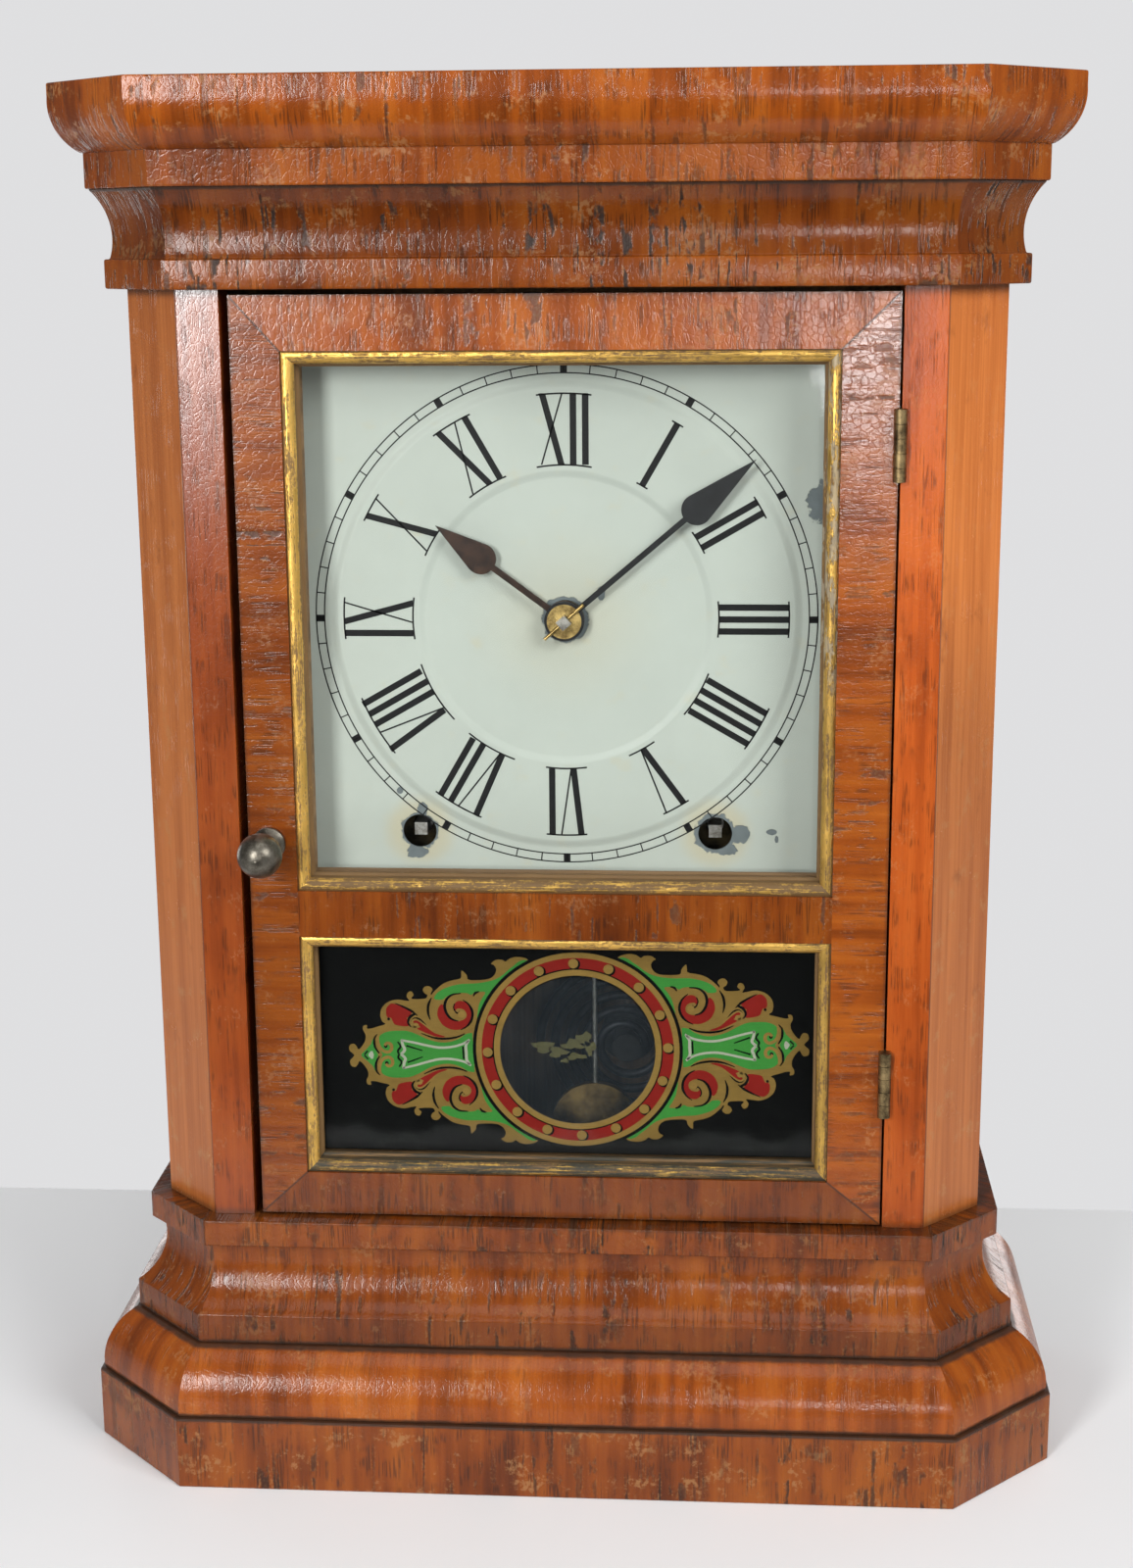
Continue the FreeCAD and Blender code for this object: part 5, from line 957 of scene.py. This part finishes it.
def circle_tree(name, finish, shape):
    """Node tree that sets one small shape round a circle; shape is 'tick' or 'stud'."""
    tree = bpy.data.node_groups.new(name, "GeometryNodeTree")
    tree.interface.new_socket("Geometry", in_out="OUTPUT", socket_type="NodeSocketGeometry")
    tree.interface.new_socket("Count", in_out="INPUT", socket_type="NodeSocketInt")
    for label in ("Radius", "Width", "Length"):
        tree.interface.new_socket(label, in_out="INPUT", socket_type="NodeSocketFloat")
    g = Graph(tree)
    count = g.node("NodeGroupInput", out="Count")
    radius, width, long = g.others(count, "Radius", "Width", "Length")
    ring = g.node("GeometryNodeMeshCircle", None, {"Vertices": count, "Radius": radius})
    if shape == "tick":
        mark = g.node("GeometryNodeMeshGrid", None, {
            "Size X": long, "Size Y": width, "Vertices X": 2, "Vertices Y": 2})
    else:
        mark = g.node("GeometryNodeMeshCircle", {"fill_type": "NGON"}, {"Vertices": 20, "Radius": width})
    turn = g.node("GeometryNodeInputIndex") * TURN / count
    spin = g.node("ShaderNodeCombineXYZ", None, {2: turn})
    many = g.node("GeometryNodeInstanceOnPoints", None, {"Points": ring, "Instance": mark, "Rotation": spin})
    real = g.node("GeometryNodeRealizeInstances", None, {0: many})
    done = g.node("GeometryNodeSetMaterial", None, {"Geometry": real, "Material": finish})
    g.node("NodeGroupOutput", None, {0: done})
    return tree


def upright(x, y, z, turn=0.0):
    """Matrix from a flat drawing to an upright plane that faces the front."""
    spin = Matrix.Rotation(math.radians(90), 4, "X") @ Matrix.Rotation(turn, 4, "Z")
    return Matrix.Translation((x, y, z)) @ spin


# Layers of paint behind the tablet's glass, from the glass backwards, and the depth of one in metres
LAYERS = {"lines": 1, "cream": 2, "black": 3, "red": 4, "green": 5, "gold": 6}
LAYER = 0.00001
# Gold lines of the ring and the shadows beside them, in millimetres
INNER_LINE, OUTER_LINE, INNER_SHADOW, OUTER_SHADOW = 1.65, 1.5, 0.35, 0.9
# Flakes left in the tablet's window: place from the ring's middle, half width and half height in millimetres
WINDOW_FLAKES = ((-9.2, 1.2, 2.6, 1.7), (-5.4, -0.4, 2.4, 1.5), (-1.2, 1.6, 2.8, 1.4), (2.0, 3.2, 2.0, 1.8),
                 (3.4, 0.6, 1.5, 1.9), (-0.4, -1.8, 2.6, 0.9), (-3.6, -2.9, 1.1, 0.6))


class CLOCK_OT_tablet(bpy.types.Operator):
    """Paint the lower glass from behind: ring, studs and scrolled ornament on a black ground"""

    bl_idname = "clock.tablet"
    bl_label = "Painted tablet"

    def execute(self, context):
        t = context.scene.clock_tablet
        low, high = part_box("lower_tablet")
        dress("lower_tablet", glass_finish("tablet_glass", (0.74, 0.75, 0.74), 0.018))
        cos, sin = math.cos(t.tilt), math.sin(t.tilt)

        def plane(layer):
            back = high.y + layer * LAYER

            def place(a, b):
                a, b = a * MM, b * MM
                return Vector((t.ring_x + a * cos - b * sin, back, t.ring_z + a * sin + b * cos))
            return place

        finishes = {
            "gold": paint_finish("tablet_gold", t.gold, 0.35, 0.42, 0.35),
            "lines": paint_finish("tablet_gold_lines", tuple(1.15 * v for v in t.gold), 0.35, 0.42, 0.35),
            "green": paint_finish("tablet_green", t.green, 0.18),
            "red": paint_finish("tablet_red", t.red, 0.22),
            "cream": paint_finish("tablet_cream", t.cream, 0.15),
            "black": paint_finish("tablet_black", t.ground, 0.2, 0.3),
        }
        window, out = t.window / MM, t.ring_out / MM
        inner, outer = window + INNER_LINE, out - OUTER_LINE
        bands = {"lines": [(window, inner), (outer, out)], "red": [(inner, outer)],
                 "black": [(inner, inner + INNER_SHADOW), (out, out + OUTER_SHADOW)]}
        for kind, shapes in ornament_parts().items():
            paint = Painted(plane(LAYERS[kind]))
            for shape in shapes:
                for side in (-1, 1):
                    for lift in (-1, 1):
                        paint.fill([(side * p[0], lift * p[1]) for p in shape])
            for low_radius, high_radius in bands.get(kind, ()):
                paint.ring((0.0, 0.0), low_radius, high_radius)
            paint.finish("tablet_paint_" + kind, finishes[kind], "door", "painted_glass")
        middle = 0.5 * (t.ring_out + t.window) + 0.15 * MM
        matrix = upright(t.ring_x, high.y + 0.5 * LAYER, t.ring_z, t.tilt)
        shadow = Matrix.Translation((0.0003, 2.5 * LAYER, -0.0002)) @ matrix
        for name, kind, wide, matrix in (("studs", "lines", 0.00135, matrix),
                                         ("stud_shadows", "black", 0.0016, shadow)):
            repeated("tablet_" + name, circle_tree("ring_" + name, finishes[kind], "stud"),
                     {"Count": t.dots, "Radius": middle, "Width": wide, "Length": 0.0}, finishes[kind], matrix,
                     "door")
        self.ground(t, low, high)
        self.flakes(t, plane(0.5))
        return {"FINISHED"}

    def ground(self, t, low, high):
        """Black ground with the round window left clear."""
        f = Finish("tablet_ground")
        x, _, z = f.place()
        scratch = f.noise(x / 9.0 + z / 30.0, z / 1.2, 3.0).ramp(0.66, 0.78)
        foot = 1.0 - (z - 88.0).ramp(0.0, 18.0)
        dust = f.noise(x / 6.0, z / 4.0, 9.0, 4.0, 0.6).ramp(0.45, 0.80) * (0.15 + 0.85 * foot)
        tone = f.blend(0.03 * scratch + 0.07 * dust, t.ground, (0.22, 0.23, 0.22))
        finish = f.surface(Base_Color=tone, Roughness=0.35 + 0.2 * dust, Specular_IOR_Level=0.15)
        bm = bmesh.new()
        back = high.y + 8 * LAYER
        inset = 0.0033
        x0, x1, z0, z1 = low.x + inset, high.x - inset, low.z + inset, high.z - inset
        steps = 96
        inner, outer = [], []
        for i in range(steps):
            angle = TURN * i / steps + 0.01
            c, s = math.cos(angle), math.sin(angle)
            reach = min(((x1 if c > 0 else x0) - t.ring_x) / c, ((z1 if s > 0 else z0) - t.ring_z) / s)
            for row, radius in ((inner, t.window), (outer, reach)):
                row.append(bm.verts.new((t.ring_x + radius * c, back, t.ring_z + radius * s)))
        for i in range(steps):
            j = (i + 1) % steps
            bm.faces.new((inner[i], inner[j], outer[j], outer[i]))
        for x, z in ((x0, z0), (x0, z1), (x1, z0), (x1, z1)):
            near = sorted(outer, key=lambda v: (v.co.x - x) ** 2 + (v.co.z - z) ** 2)[:2]
            bm.faces.new((near[0], near[1], bm.verts.new((x, back, z))))
        face_front(bm)
        add_piece("tablet_black_ground", bm, finish, "door")

    def flakes(self, t, place):
        """Few worn flakes of old paint left in the window."""
        paint = Painted(place)
        steps = 14
        for k, (a, b, wide, tall) in enumerate(WINDOW_FLAKES):
            outline = []
            for i in range(steps):
                angle = TURN * i / steps
                ragged = 1.0 + 0.28 * math.sin(3 * angle + 1.7 * k) + 0.18 * math.sin(5 * angle + 2.3 * k)
                outline.append((a + wide * ragged * math.cos(angle), b + tall * ragged * math.sin(angle)))
            paint.fill(outline)
        finish = paint_finish("tablet_flake_paint", t.flake, 0.6, 0.6)
        paint.finish("tablet_flakes", finish, "door", "painted_glass")


NUMERALS = ["XII", "I", "II", "III", "IIII", "V", "VI", "VII", "VIII", "IX", "X", "XI"]
LETTER_WIDTH = {"I": 1.9, "V": 6.4, "X": 6.6}
LETTER_GAP = 1.25
# Flakes off the dial's paint: place across and above the floor, half width and half height in millimetres
DIAL_FLAKES = ((66.2, 262.8, 5.4, 8.0), (9.4, 239.2, 1.4, 2.6), (54.6, 175.4, 2.0, 1.2),
               (55.8, 173.6, 0.8, 1.5), (-44.6, 186.0, 1.3, 1.3), (45.6, 174.8, 5.0, 3.6),
               (42.6, 170.6, 3.8, 2.8), (-40.6, 169.6, 4.0, 2.8), (-38.6, 180.4, 1.9, 3.6))


def dial_finish():
    """Pale paint with yellow stains, a pressed ring, and flakes down to bare metal."""
    f = Finish("dial_paint")
    d = bpy.context.scene.clock_dial
    x, _, z = f.place()

    def away(at_x, at_z, wide=1.0, tall=1.0):
        """Distance from a spot, in shares of its size."""
        a, b = (x - at_x) / wide, (z - at_z) / tall
        return (a * a + b * b).root()

    def middle(node):
        low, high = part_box(node)
        return 0.5 * (low.x + high.x) / MM, 0.5 * (low.z + high.z) / MM

    radius = away(0.0, middle("dial_plate")[1])
    cloud = f.noise(x / 30.0, z / 30.0, 3.0, 4.0, 0.6)
    mottle = f.noise(x / 4.0, z / 4.0, 5.0, 4.0, 0.6)
    paint = f.shade(d.paint, 0.90 + 0.14 * cloud + 0.05 * mottle)
    heart = 1.0 - radius.ramp(3.0, 30.0)
    spots = f.noise(x / 9.0, z / 7.0, 7.0, 4.0, 0.65).ramp(0.58, 0.76)
    stain = (0.30 * spots + 0.50 * heart * cloud).least(1.0)
    ragged = 3.6 * f.noise(x / 3.2, z / 3.2, 11.0, 4.0, 0.65)
    bare = 1.0 - (radius + 0.8 * ragged).ramp(7.4, 7.8)
    for node, reach in (("time_winding_arbor", 7.0), ("strike_winding_arbor", 6.6)):
        near = away(*middle(node))
        bare = (1.0 - (near + ragged).ramp(reach, reach + 0.5)).most(bare)
        stain = stain.most(0.55 * (1.0 - (near + 0.6 * ragged).ramp(7.0, 12.5)))
    for flake in DIAL_FLAKES:
        bare = (1.0 - (away(*flake) + 0.30 * ragged).ramp(1.2, 1.28)).most(bare)
    tone = f.blend(stain, paint, d.stain)
    tone = f.blend(bare, tone, f.shade(d.zinc, 0.7 + 0.6 * mottle))
    pressed = radius.ramp(36.6, 39.0) * (1.0 - radius.ramp(59.5, 62.0))
    height = 0.9 * pressed - 0.25 * bare + 0.03 * mottle + 0.05 * cloud
    return f.surface(height, 0.0006, Base_Color=tone, Roughness=0.42 + 0.15 * bare, Specular_IOR_Level=0.25)


class CLOCK_OT_dial(bpy.types.Operator):
    """Paint the dial, its numerals and its minute track"""

    bl_idname = "clock.dial"
    bl_label = "Dial"

    def execute(self, context):
        d = context.scene.clock_dial
        dress("dial_plate", dial_finish())
        low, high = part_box("dial_plate")
        face = low.y - 0.00003
        centre = 0.5 * (low.z + high.z)
        ink = paint_finish("dial_ink", d.ink, 0.3, 0.4)

        def place(a, b):
            return Vector((a * MM, face, centre + b * MM))

        paint = Painted(place)
        line = 0.17
        for radius in (d.track_in / MM, d.track_out / MM):
            paint.ring((0.0, 0.0), radius - line, radius + line, 256)
        for hour, text in enumerate(NUMERALS):
            self.numeral(paint, d, text, math.radians(30 * hour))
        paint.finish("dial_numerals", ink, "case", "dark_steel")
        matrix = upright(0.0, face, centre)
        middle, deep = 0.5 * (d.track_in + d.track_out), d.track_out - d.track_in
        tree = circle_tree("minute_ticks", ink, "tick")
        for name, count, wide in (("dial_minutes", 60, 0.00031), ("dial_five_minutes", 12, 0.0018)):
            repeated(name, tree, {"Count": count, "Radius": middle, "Width": wide, "Length": deep}, ink, matrix,
                     "case")
        return {"FINISHED"}

    def numeral(self, paint, d, text, turn):
        """Strokes of one numeral, its head outwards."""
        foot, head = d.numeral_in / MM, d.numeral_out / MM
        thick, thin = 0.5 * d.thick / MM, 0.5 * d.thin / MM
        wide = sum(LETTER_WIDTH[c] for c in text) + LETTER_GAP * (len(text) - 1)
        cos, sin = math.cos(turn), math.sin(turn)

        def at(s, r):
            return (r * sin + s * cos, r * cos - s * sin)

        def stroke(s0, s1, half):
            paint.fill([at(s0 - half, foot), at(s1 - half, head), at(s1 + half, head), at(s0 + half, foot)])

        s = -wide / 2
        for letter in text:
            over = LETTER_WIDTH[letter]
            middle = s + over / 2
            if letter == "I":
                stroke(middle, middle, thick)
            elif letter == "V":
                stroke(middle - 0.3, s + thick, thick)
                stroke(middle + 0.3, s + over - thin, thin)
            else:
                stroke(s + over - thick, s + thick, thick)
                stroke(s + thin + 0.4, s + over - thin - 0.4, thin)
            s += over + LETTER_GAP
        steps = 8
        for radius in (foot, head):
            bend = (wide / 2 + 0.7) / radius
            turns = [-bend + 2 * bend * i / steps for i in range(steps + 1)]
            line = []
            for reach, way in ((radius - thin, turns), (radius + thin, turns[::-1])):
                line += [at(reach * math.sin(t), reach * math.cos(t)) for t in way]
            paint.fill(line)


def metal_finish(name, tint, dark, rough, metal=1.0):
    """Aged metal with tarnish in patches and fine scratches."""
    f = Finish(name)
    x, y, z = f.place()
    patch = f.noise(x / 3.5, y / 3.5, z / 3.5, 4.0, 0.62)
    fine = f.noise(x / 0.35, y / 0.9, z / 0.35)
    tone = f.tint((0.75 * patch + 0.25 * fine).ramp(0.34, 0.66), [(0.0, dark), (1.0, tint)])
    return f.surface(0.6 * patch + 0.4 * fine, 0.00006, Base_Color=tone, Roughness=rough + 0.25 * patch,
                     Metallic=metal)


# Metals: name, bright tone, tarnish, roughness, how metallic, and the nodes that have them
HAND_METALS = (
    ("hand_brass", (0.62, 0.44, 0.17), (0.20, 0.13, 0.05), 0.25, 1.0, ("hand_washer", "hand_pin", "hour_pipe")),
    ("blued_hand", (0.016, 0.017, 0.020), (0.008, 0.008, 0.009), 0.25, 0.4, ("minute_hand",)),
    ("browned_hand", (0.050, 0.022, 0.013), (0.018, 0.010, 0.008), 0.25, 0.4, ("hour_hand",)),
    ("arbor_steel", (0.42, 0.40, 0.37), (0.14, 0.13, 0.12), 0.30, 1.0, ("hand_arbor",)),
)
FITTING_METALS = (
    ("hinge_brass", (0.36, 0.26, 0.125), (0.075, 0.052, 0.028), 0.34, 1.0,
     ("hinge_case_leaves", "hinge_door_leaves", "hinge_pins")),
    ("knob_bronze", (0.20, 0.185, 0.150), (0.070, 0.060, 0.046), 0.22, 0.85, ("door_knob",)),
    ("hook_steel", (0.32, 0.30, 0.28), (0.09, 0.07, 0.05), 0.42, 1.0, ("latch_hook",)),
)
MOVEMENT_METALS = (
    # The front plate is made near black as painted shade, so that the winding holes look dark.
    ("dulled_plate", (0.070, 0.050, 0.022), (0.020, 0.015, 0.008), 0.5, 1.0, ("movement_front_plate",)),
    ("pendulum_wire", (0.66, 0.65, 0.62), (0.34, 0.33, 0.31), 0.28, 1.0, ("pendulum_rod",)),
    ("bob_brass", (0.22, 0.145, 0.050), (0.070, 0.045, 0.018), 0.40, 1.0, ("pendulum_bob",)),
    ("gong_blue", (0.075, 0.080, 0.095), (0.030, 0.030, 0.034), 0.28, 1.0, ("gong_coil",)),
)


def dress_metals(rows):
    """Give every node of some rows its metal."""
    for *metal, nodes in rows:
        finish = metal_finish(*metal)
        for node in nodes:
            dress(node, finish)


class CLOCK_OT_hands(bpy.types.Operator):
    """Finish the hands and what holds them"""

    bl_idname = "clock.hands"
    bl_label = "Hands"

    def execute(self, context):
        dress_metals(HAND_METALS)
        return {"FINISHED"}


class CLOCK_OT_fittings(bpy.types.Operator):
    """Finish the hinges, the knob and its hook"""

    bl_idname = "clock.fittings"
    bl_label = "Hinges and knob"

    def execute(self, context):
        dress_metals(FITTING_METALS)
        return {"FINISHED"}


class CLOCK_OT_movement(bpy.types.Operator):
    """Finish the movement, the pendulum and the gong"""

    bl_idname = "clock.movement"
    bl_label = "Movement"

    def execute(self, context):
        finishes = {
            "brass": metal_finish("movement_brass", (0.60, 0.43, 0.16), (0.26, 0.17, 0.06), 0.30),
            "steel": metal_finish("movement_steel", (0.50, 0.49, 0.47), (0.20, 0.18, 0.16), 0.32),
            "cast_iron": metal_finish("gong_iron", (0.055, 0.052, 0.050), (0.020, 0.018, 0.017), 0.45, 0.5),
        }
        own = {node for row in HAND_METALS + FITTING_METALS for node in row[-1]}
        for item in frame["record"]["subparts"]:
            if item["material_slot"] in finishes and item["node"] not in own:
                dress(item["node"], finishes[item["material_slot"]])
        dress_metals(MOVEMENT_METALS)
        return {"FINISHED"}


# Lamps: name, place, width, height and power; all aim at one point
LAMPS = (
    ("front_left", (-0.43, -1.00, 0.47), 0.22, 0.46, 9.0),
    ("overhead", (0.05, -0.40, 1.25), 0.9, 0.5, 2.5),
    ("front_right", (0.80, -0.80, 0.80), 0.6, 0.6, 10.5),
    ("behind_camera", (0.138, -1.12, 0.285), 0.055, 0.17, 1.10),
    ("back_left", (-0.75, 0.80, 0.12), 0.8, 0.4, 3.0),
    ("back_right", (0.75, 0.80, 0.12), 0.8, 0.4, 3.0),
)
LAMP_AIM = Vector((0.0, 0.0, 0.19))
FLOOR_HALF = 2.5


class CLOCK_OT_stage(bpy.types.Operator):
    """Lay the floor, set the light and place the camera"""

    bl_idname = "clock.stage"
    bl_label = "Stage"

    def execute(self, context):
        s = context.scene.clock_stage
        self.floor(s)
        self.light(context.scene, s)
        self.camera(context.scene, s)
        return {"FINISHED"}

    def floor(self, s):
        """Pale floor; far before the clock it throws no light back, and towards its back edge it has a painted
        glow that only the camera sees.
        """
        f = Finish("pale_floor")
        x, y, _ = f.place()
        tone = f.shade(s.floor, 0.985 + 0.03 * f.noise(x / 60.0, y / 60.0, 1.0, 3.0))
        ray = f.node("ShaderNodeLightPath", out="Is Camera Ray")
        glow = f.shade(s.floor, 0.16 * ray * y.ramp(-60.0, s.floor_back / MM))
        pale = f.node("ShaderNodeBsdfPrincipled", None, {
            "Base Color": tone, "Roughness": 0.55, "Emission Color": glow, "Emission Strength": 1.0})
        dim = f.node("ShaderNodeBsdfPrincipled", None, {"Base Color": (0.02, 0.02, 0.02), "Roughness": 0.9})
        seen = ray.most(y.above(s.floor_lit / MM))
        finish = f.close(f.node("ShaderNodeMixShader", None, {0: seen, 1: dim, 2: pale}))
        bm = bmesh.new()
        corners = ((-FLOOR_HALF, s.floor_front), (FLOOR_HALF, s.floor_front), (FLOOR_HALF, s.floor_back),
                   (-FLOOR_HALF, s.floor_back))
        bm.faces.new([bm.verts.new((a, b, 0.0)) for a, b in corners])
        floor = add_mesh("floor", bm, finish)

    def light(self, scene, s):
        """Dim light all round, a pale backdrop that only the camera sees, and the lamps."""
        world = bpy.data.worlds.new("surround")
        scene.world = world
        world.use_nodes = True
        world.node_tree.nodes.clear()
        g = Graph(world.node_tree)
        seen = g.node("ShaderNodeLightPath", out="Is Camera Ray")
        tone = g.node("ShaderNodeMix", {"data_type": "RGBA"}, {0: seen, 6: s.ambient, 7: s.surround}, out=2)
        sky = g.node("ShaderNodeBackground", None, {"Color": tone})
        g.node("ShaderNodeOutputWorld", None, {"Surface": sky})
        scene.view_settings.view_transform = "Standard"
        for name, at, wide, tall, power in LAMPS:
            data = bpy.data.lights.new(name, "AREA")
            data.shape = "RECTANGLE"
            data.size = wide
            data.size_y = tall
            data.energy = power
            lamp = bpy.data.objects.new(name, data)
            lamp.location = at
            lamp.rotation_euler = (LAMP_AIM - Vector(at)).to_track_quat("-Z", "Y").to_euler()
            scene.collection.objects.link(lamp)

    def camera(self, scene, s):
        """Camera at the place that the photograph was taken from."""
        data = bpy.data.cameras.new("camera")
        data.sensor_width = 36.0
        data.lens = s.lens
        camera = bpy.data.objects.new("camera", data)
        turn = Matrix.Rotation(s.yaw, 3, "Z") @ Matrix.Rotation(s.pitch, 3, "X")
        turn = turn @ Matrix.Rotation(s.roll, 3, "Y")
        right, ahead, up = turn.col
        camera.matrix_world = Matrix.Translation(s.camera) @ Matrix((right, up, -ahead)).transposed().to_4x4()
        scene.collection.objects.link(camera)
        scene.camera = camera


STEPS = (CLOCK_OT_mouldings, CLOCK_OT_case_wood, CLOCK_OT_door, CLOCK_OT_tablet, CLOCK_OT_dial, CLOCK_OT_hands,
         CLOCK_OT_fittings, CLOCK_OT_movement, CLOCK_OT_stage)
SETTINGS = {"clock_case": ClockCase, "clock_wood": ClockWood, "clock_gilt": ClockGilt, "clock_dial": ClockDial,
            "clock_tablet": ClockTablet, "clock_stage": ClockStage}


class CLOCK_PT_panel(bpy.types.Panel):
    """Steps that dress the clock"""

    bl_idname = "CLOCK_PT_panel"
    bl_label = "Cottage clock"
    bl_space_type = "VIEW_3D"
    bl_region_type = "UI"
    bl_category = "Clock"

    def draw(self, context):
        for step in STEPS:
            self.layout.operator(step.bl_idname)


def register():
    """Make the settings, steps and panel known."""
    for name, kind in SETTINGS.items():
        bpy.utils.register_class(kind)
        setattr(bpy.types.Scene, name, bpy.props.PointerProperty(type=kind))
    for step in STEPS + (CLOCK_PT_panel,):
        bpy.utils.register_class(step)


def unregister():
    """Take them away again."""
    for step in (CLOCK_PT_panel,) + STEPS[::-1]:
        bpy.utils.unregister_class(step)
    for name, kind in SETTINGS.items():
        delattr(bpy.types.Scene, name)
        bpy.utils.unregister_class(kind)


def main():
    """Dress the clock."""
    register()
    bpy.ops.clock.mouldings()
    bpy.ops.clock.case_wood()
    bpy.ops.clock.door()
    bpy.ops.clock.tablet()
    bpy.ops.clock.dial()
    bpy.ops.clock.hands()
    bpy.ops.clock.fittings()
    bpy.ops.clock.movement()
    bpy.ops.clock.stage()


if __name__ == "__main__":
    main()
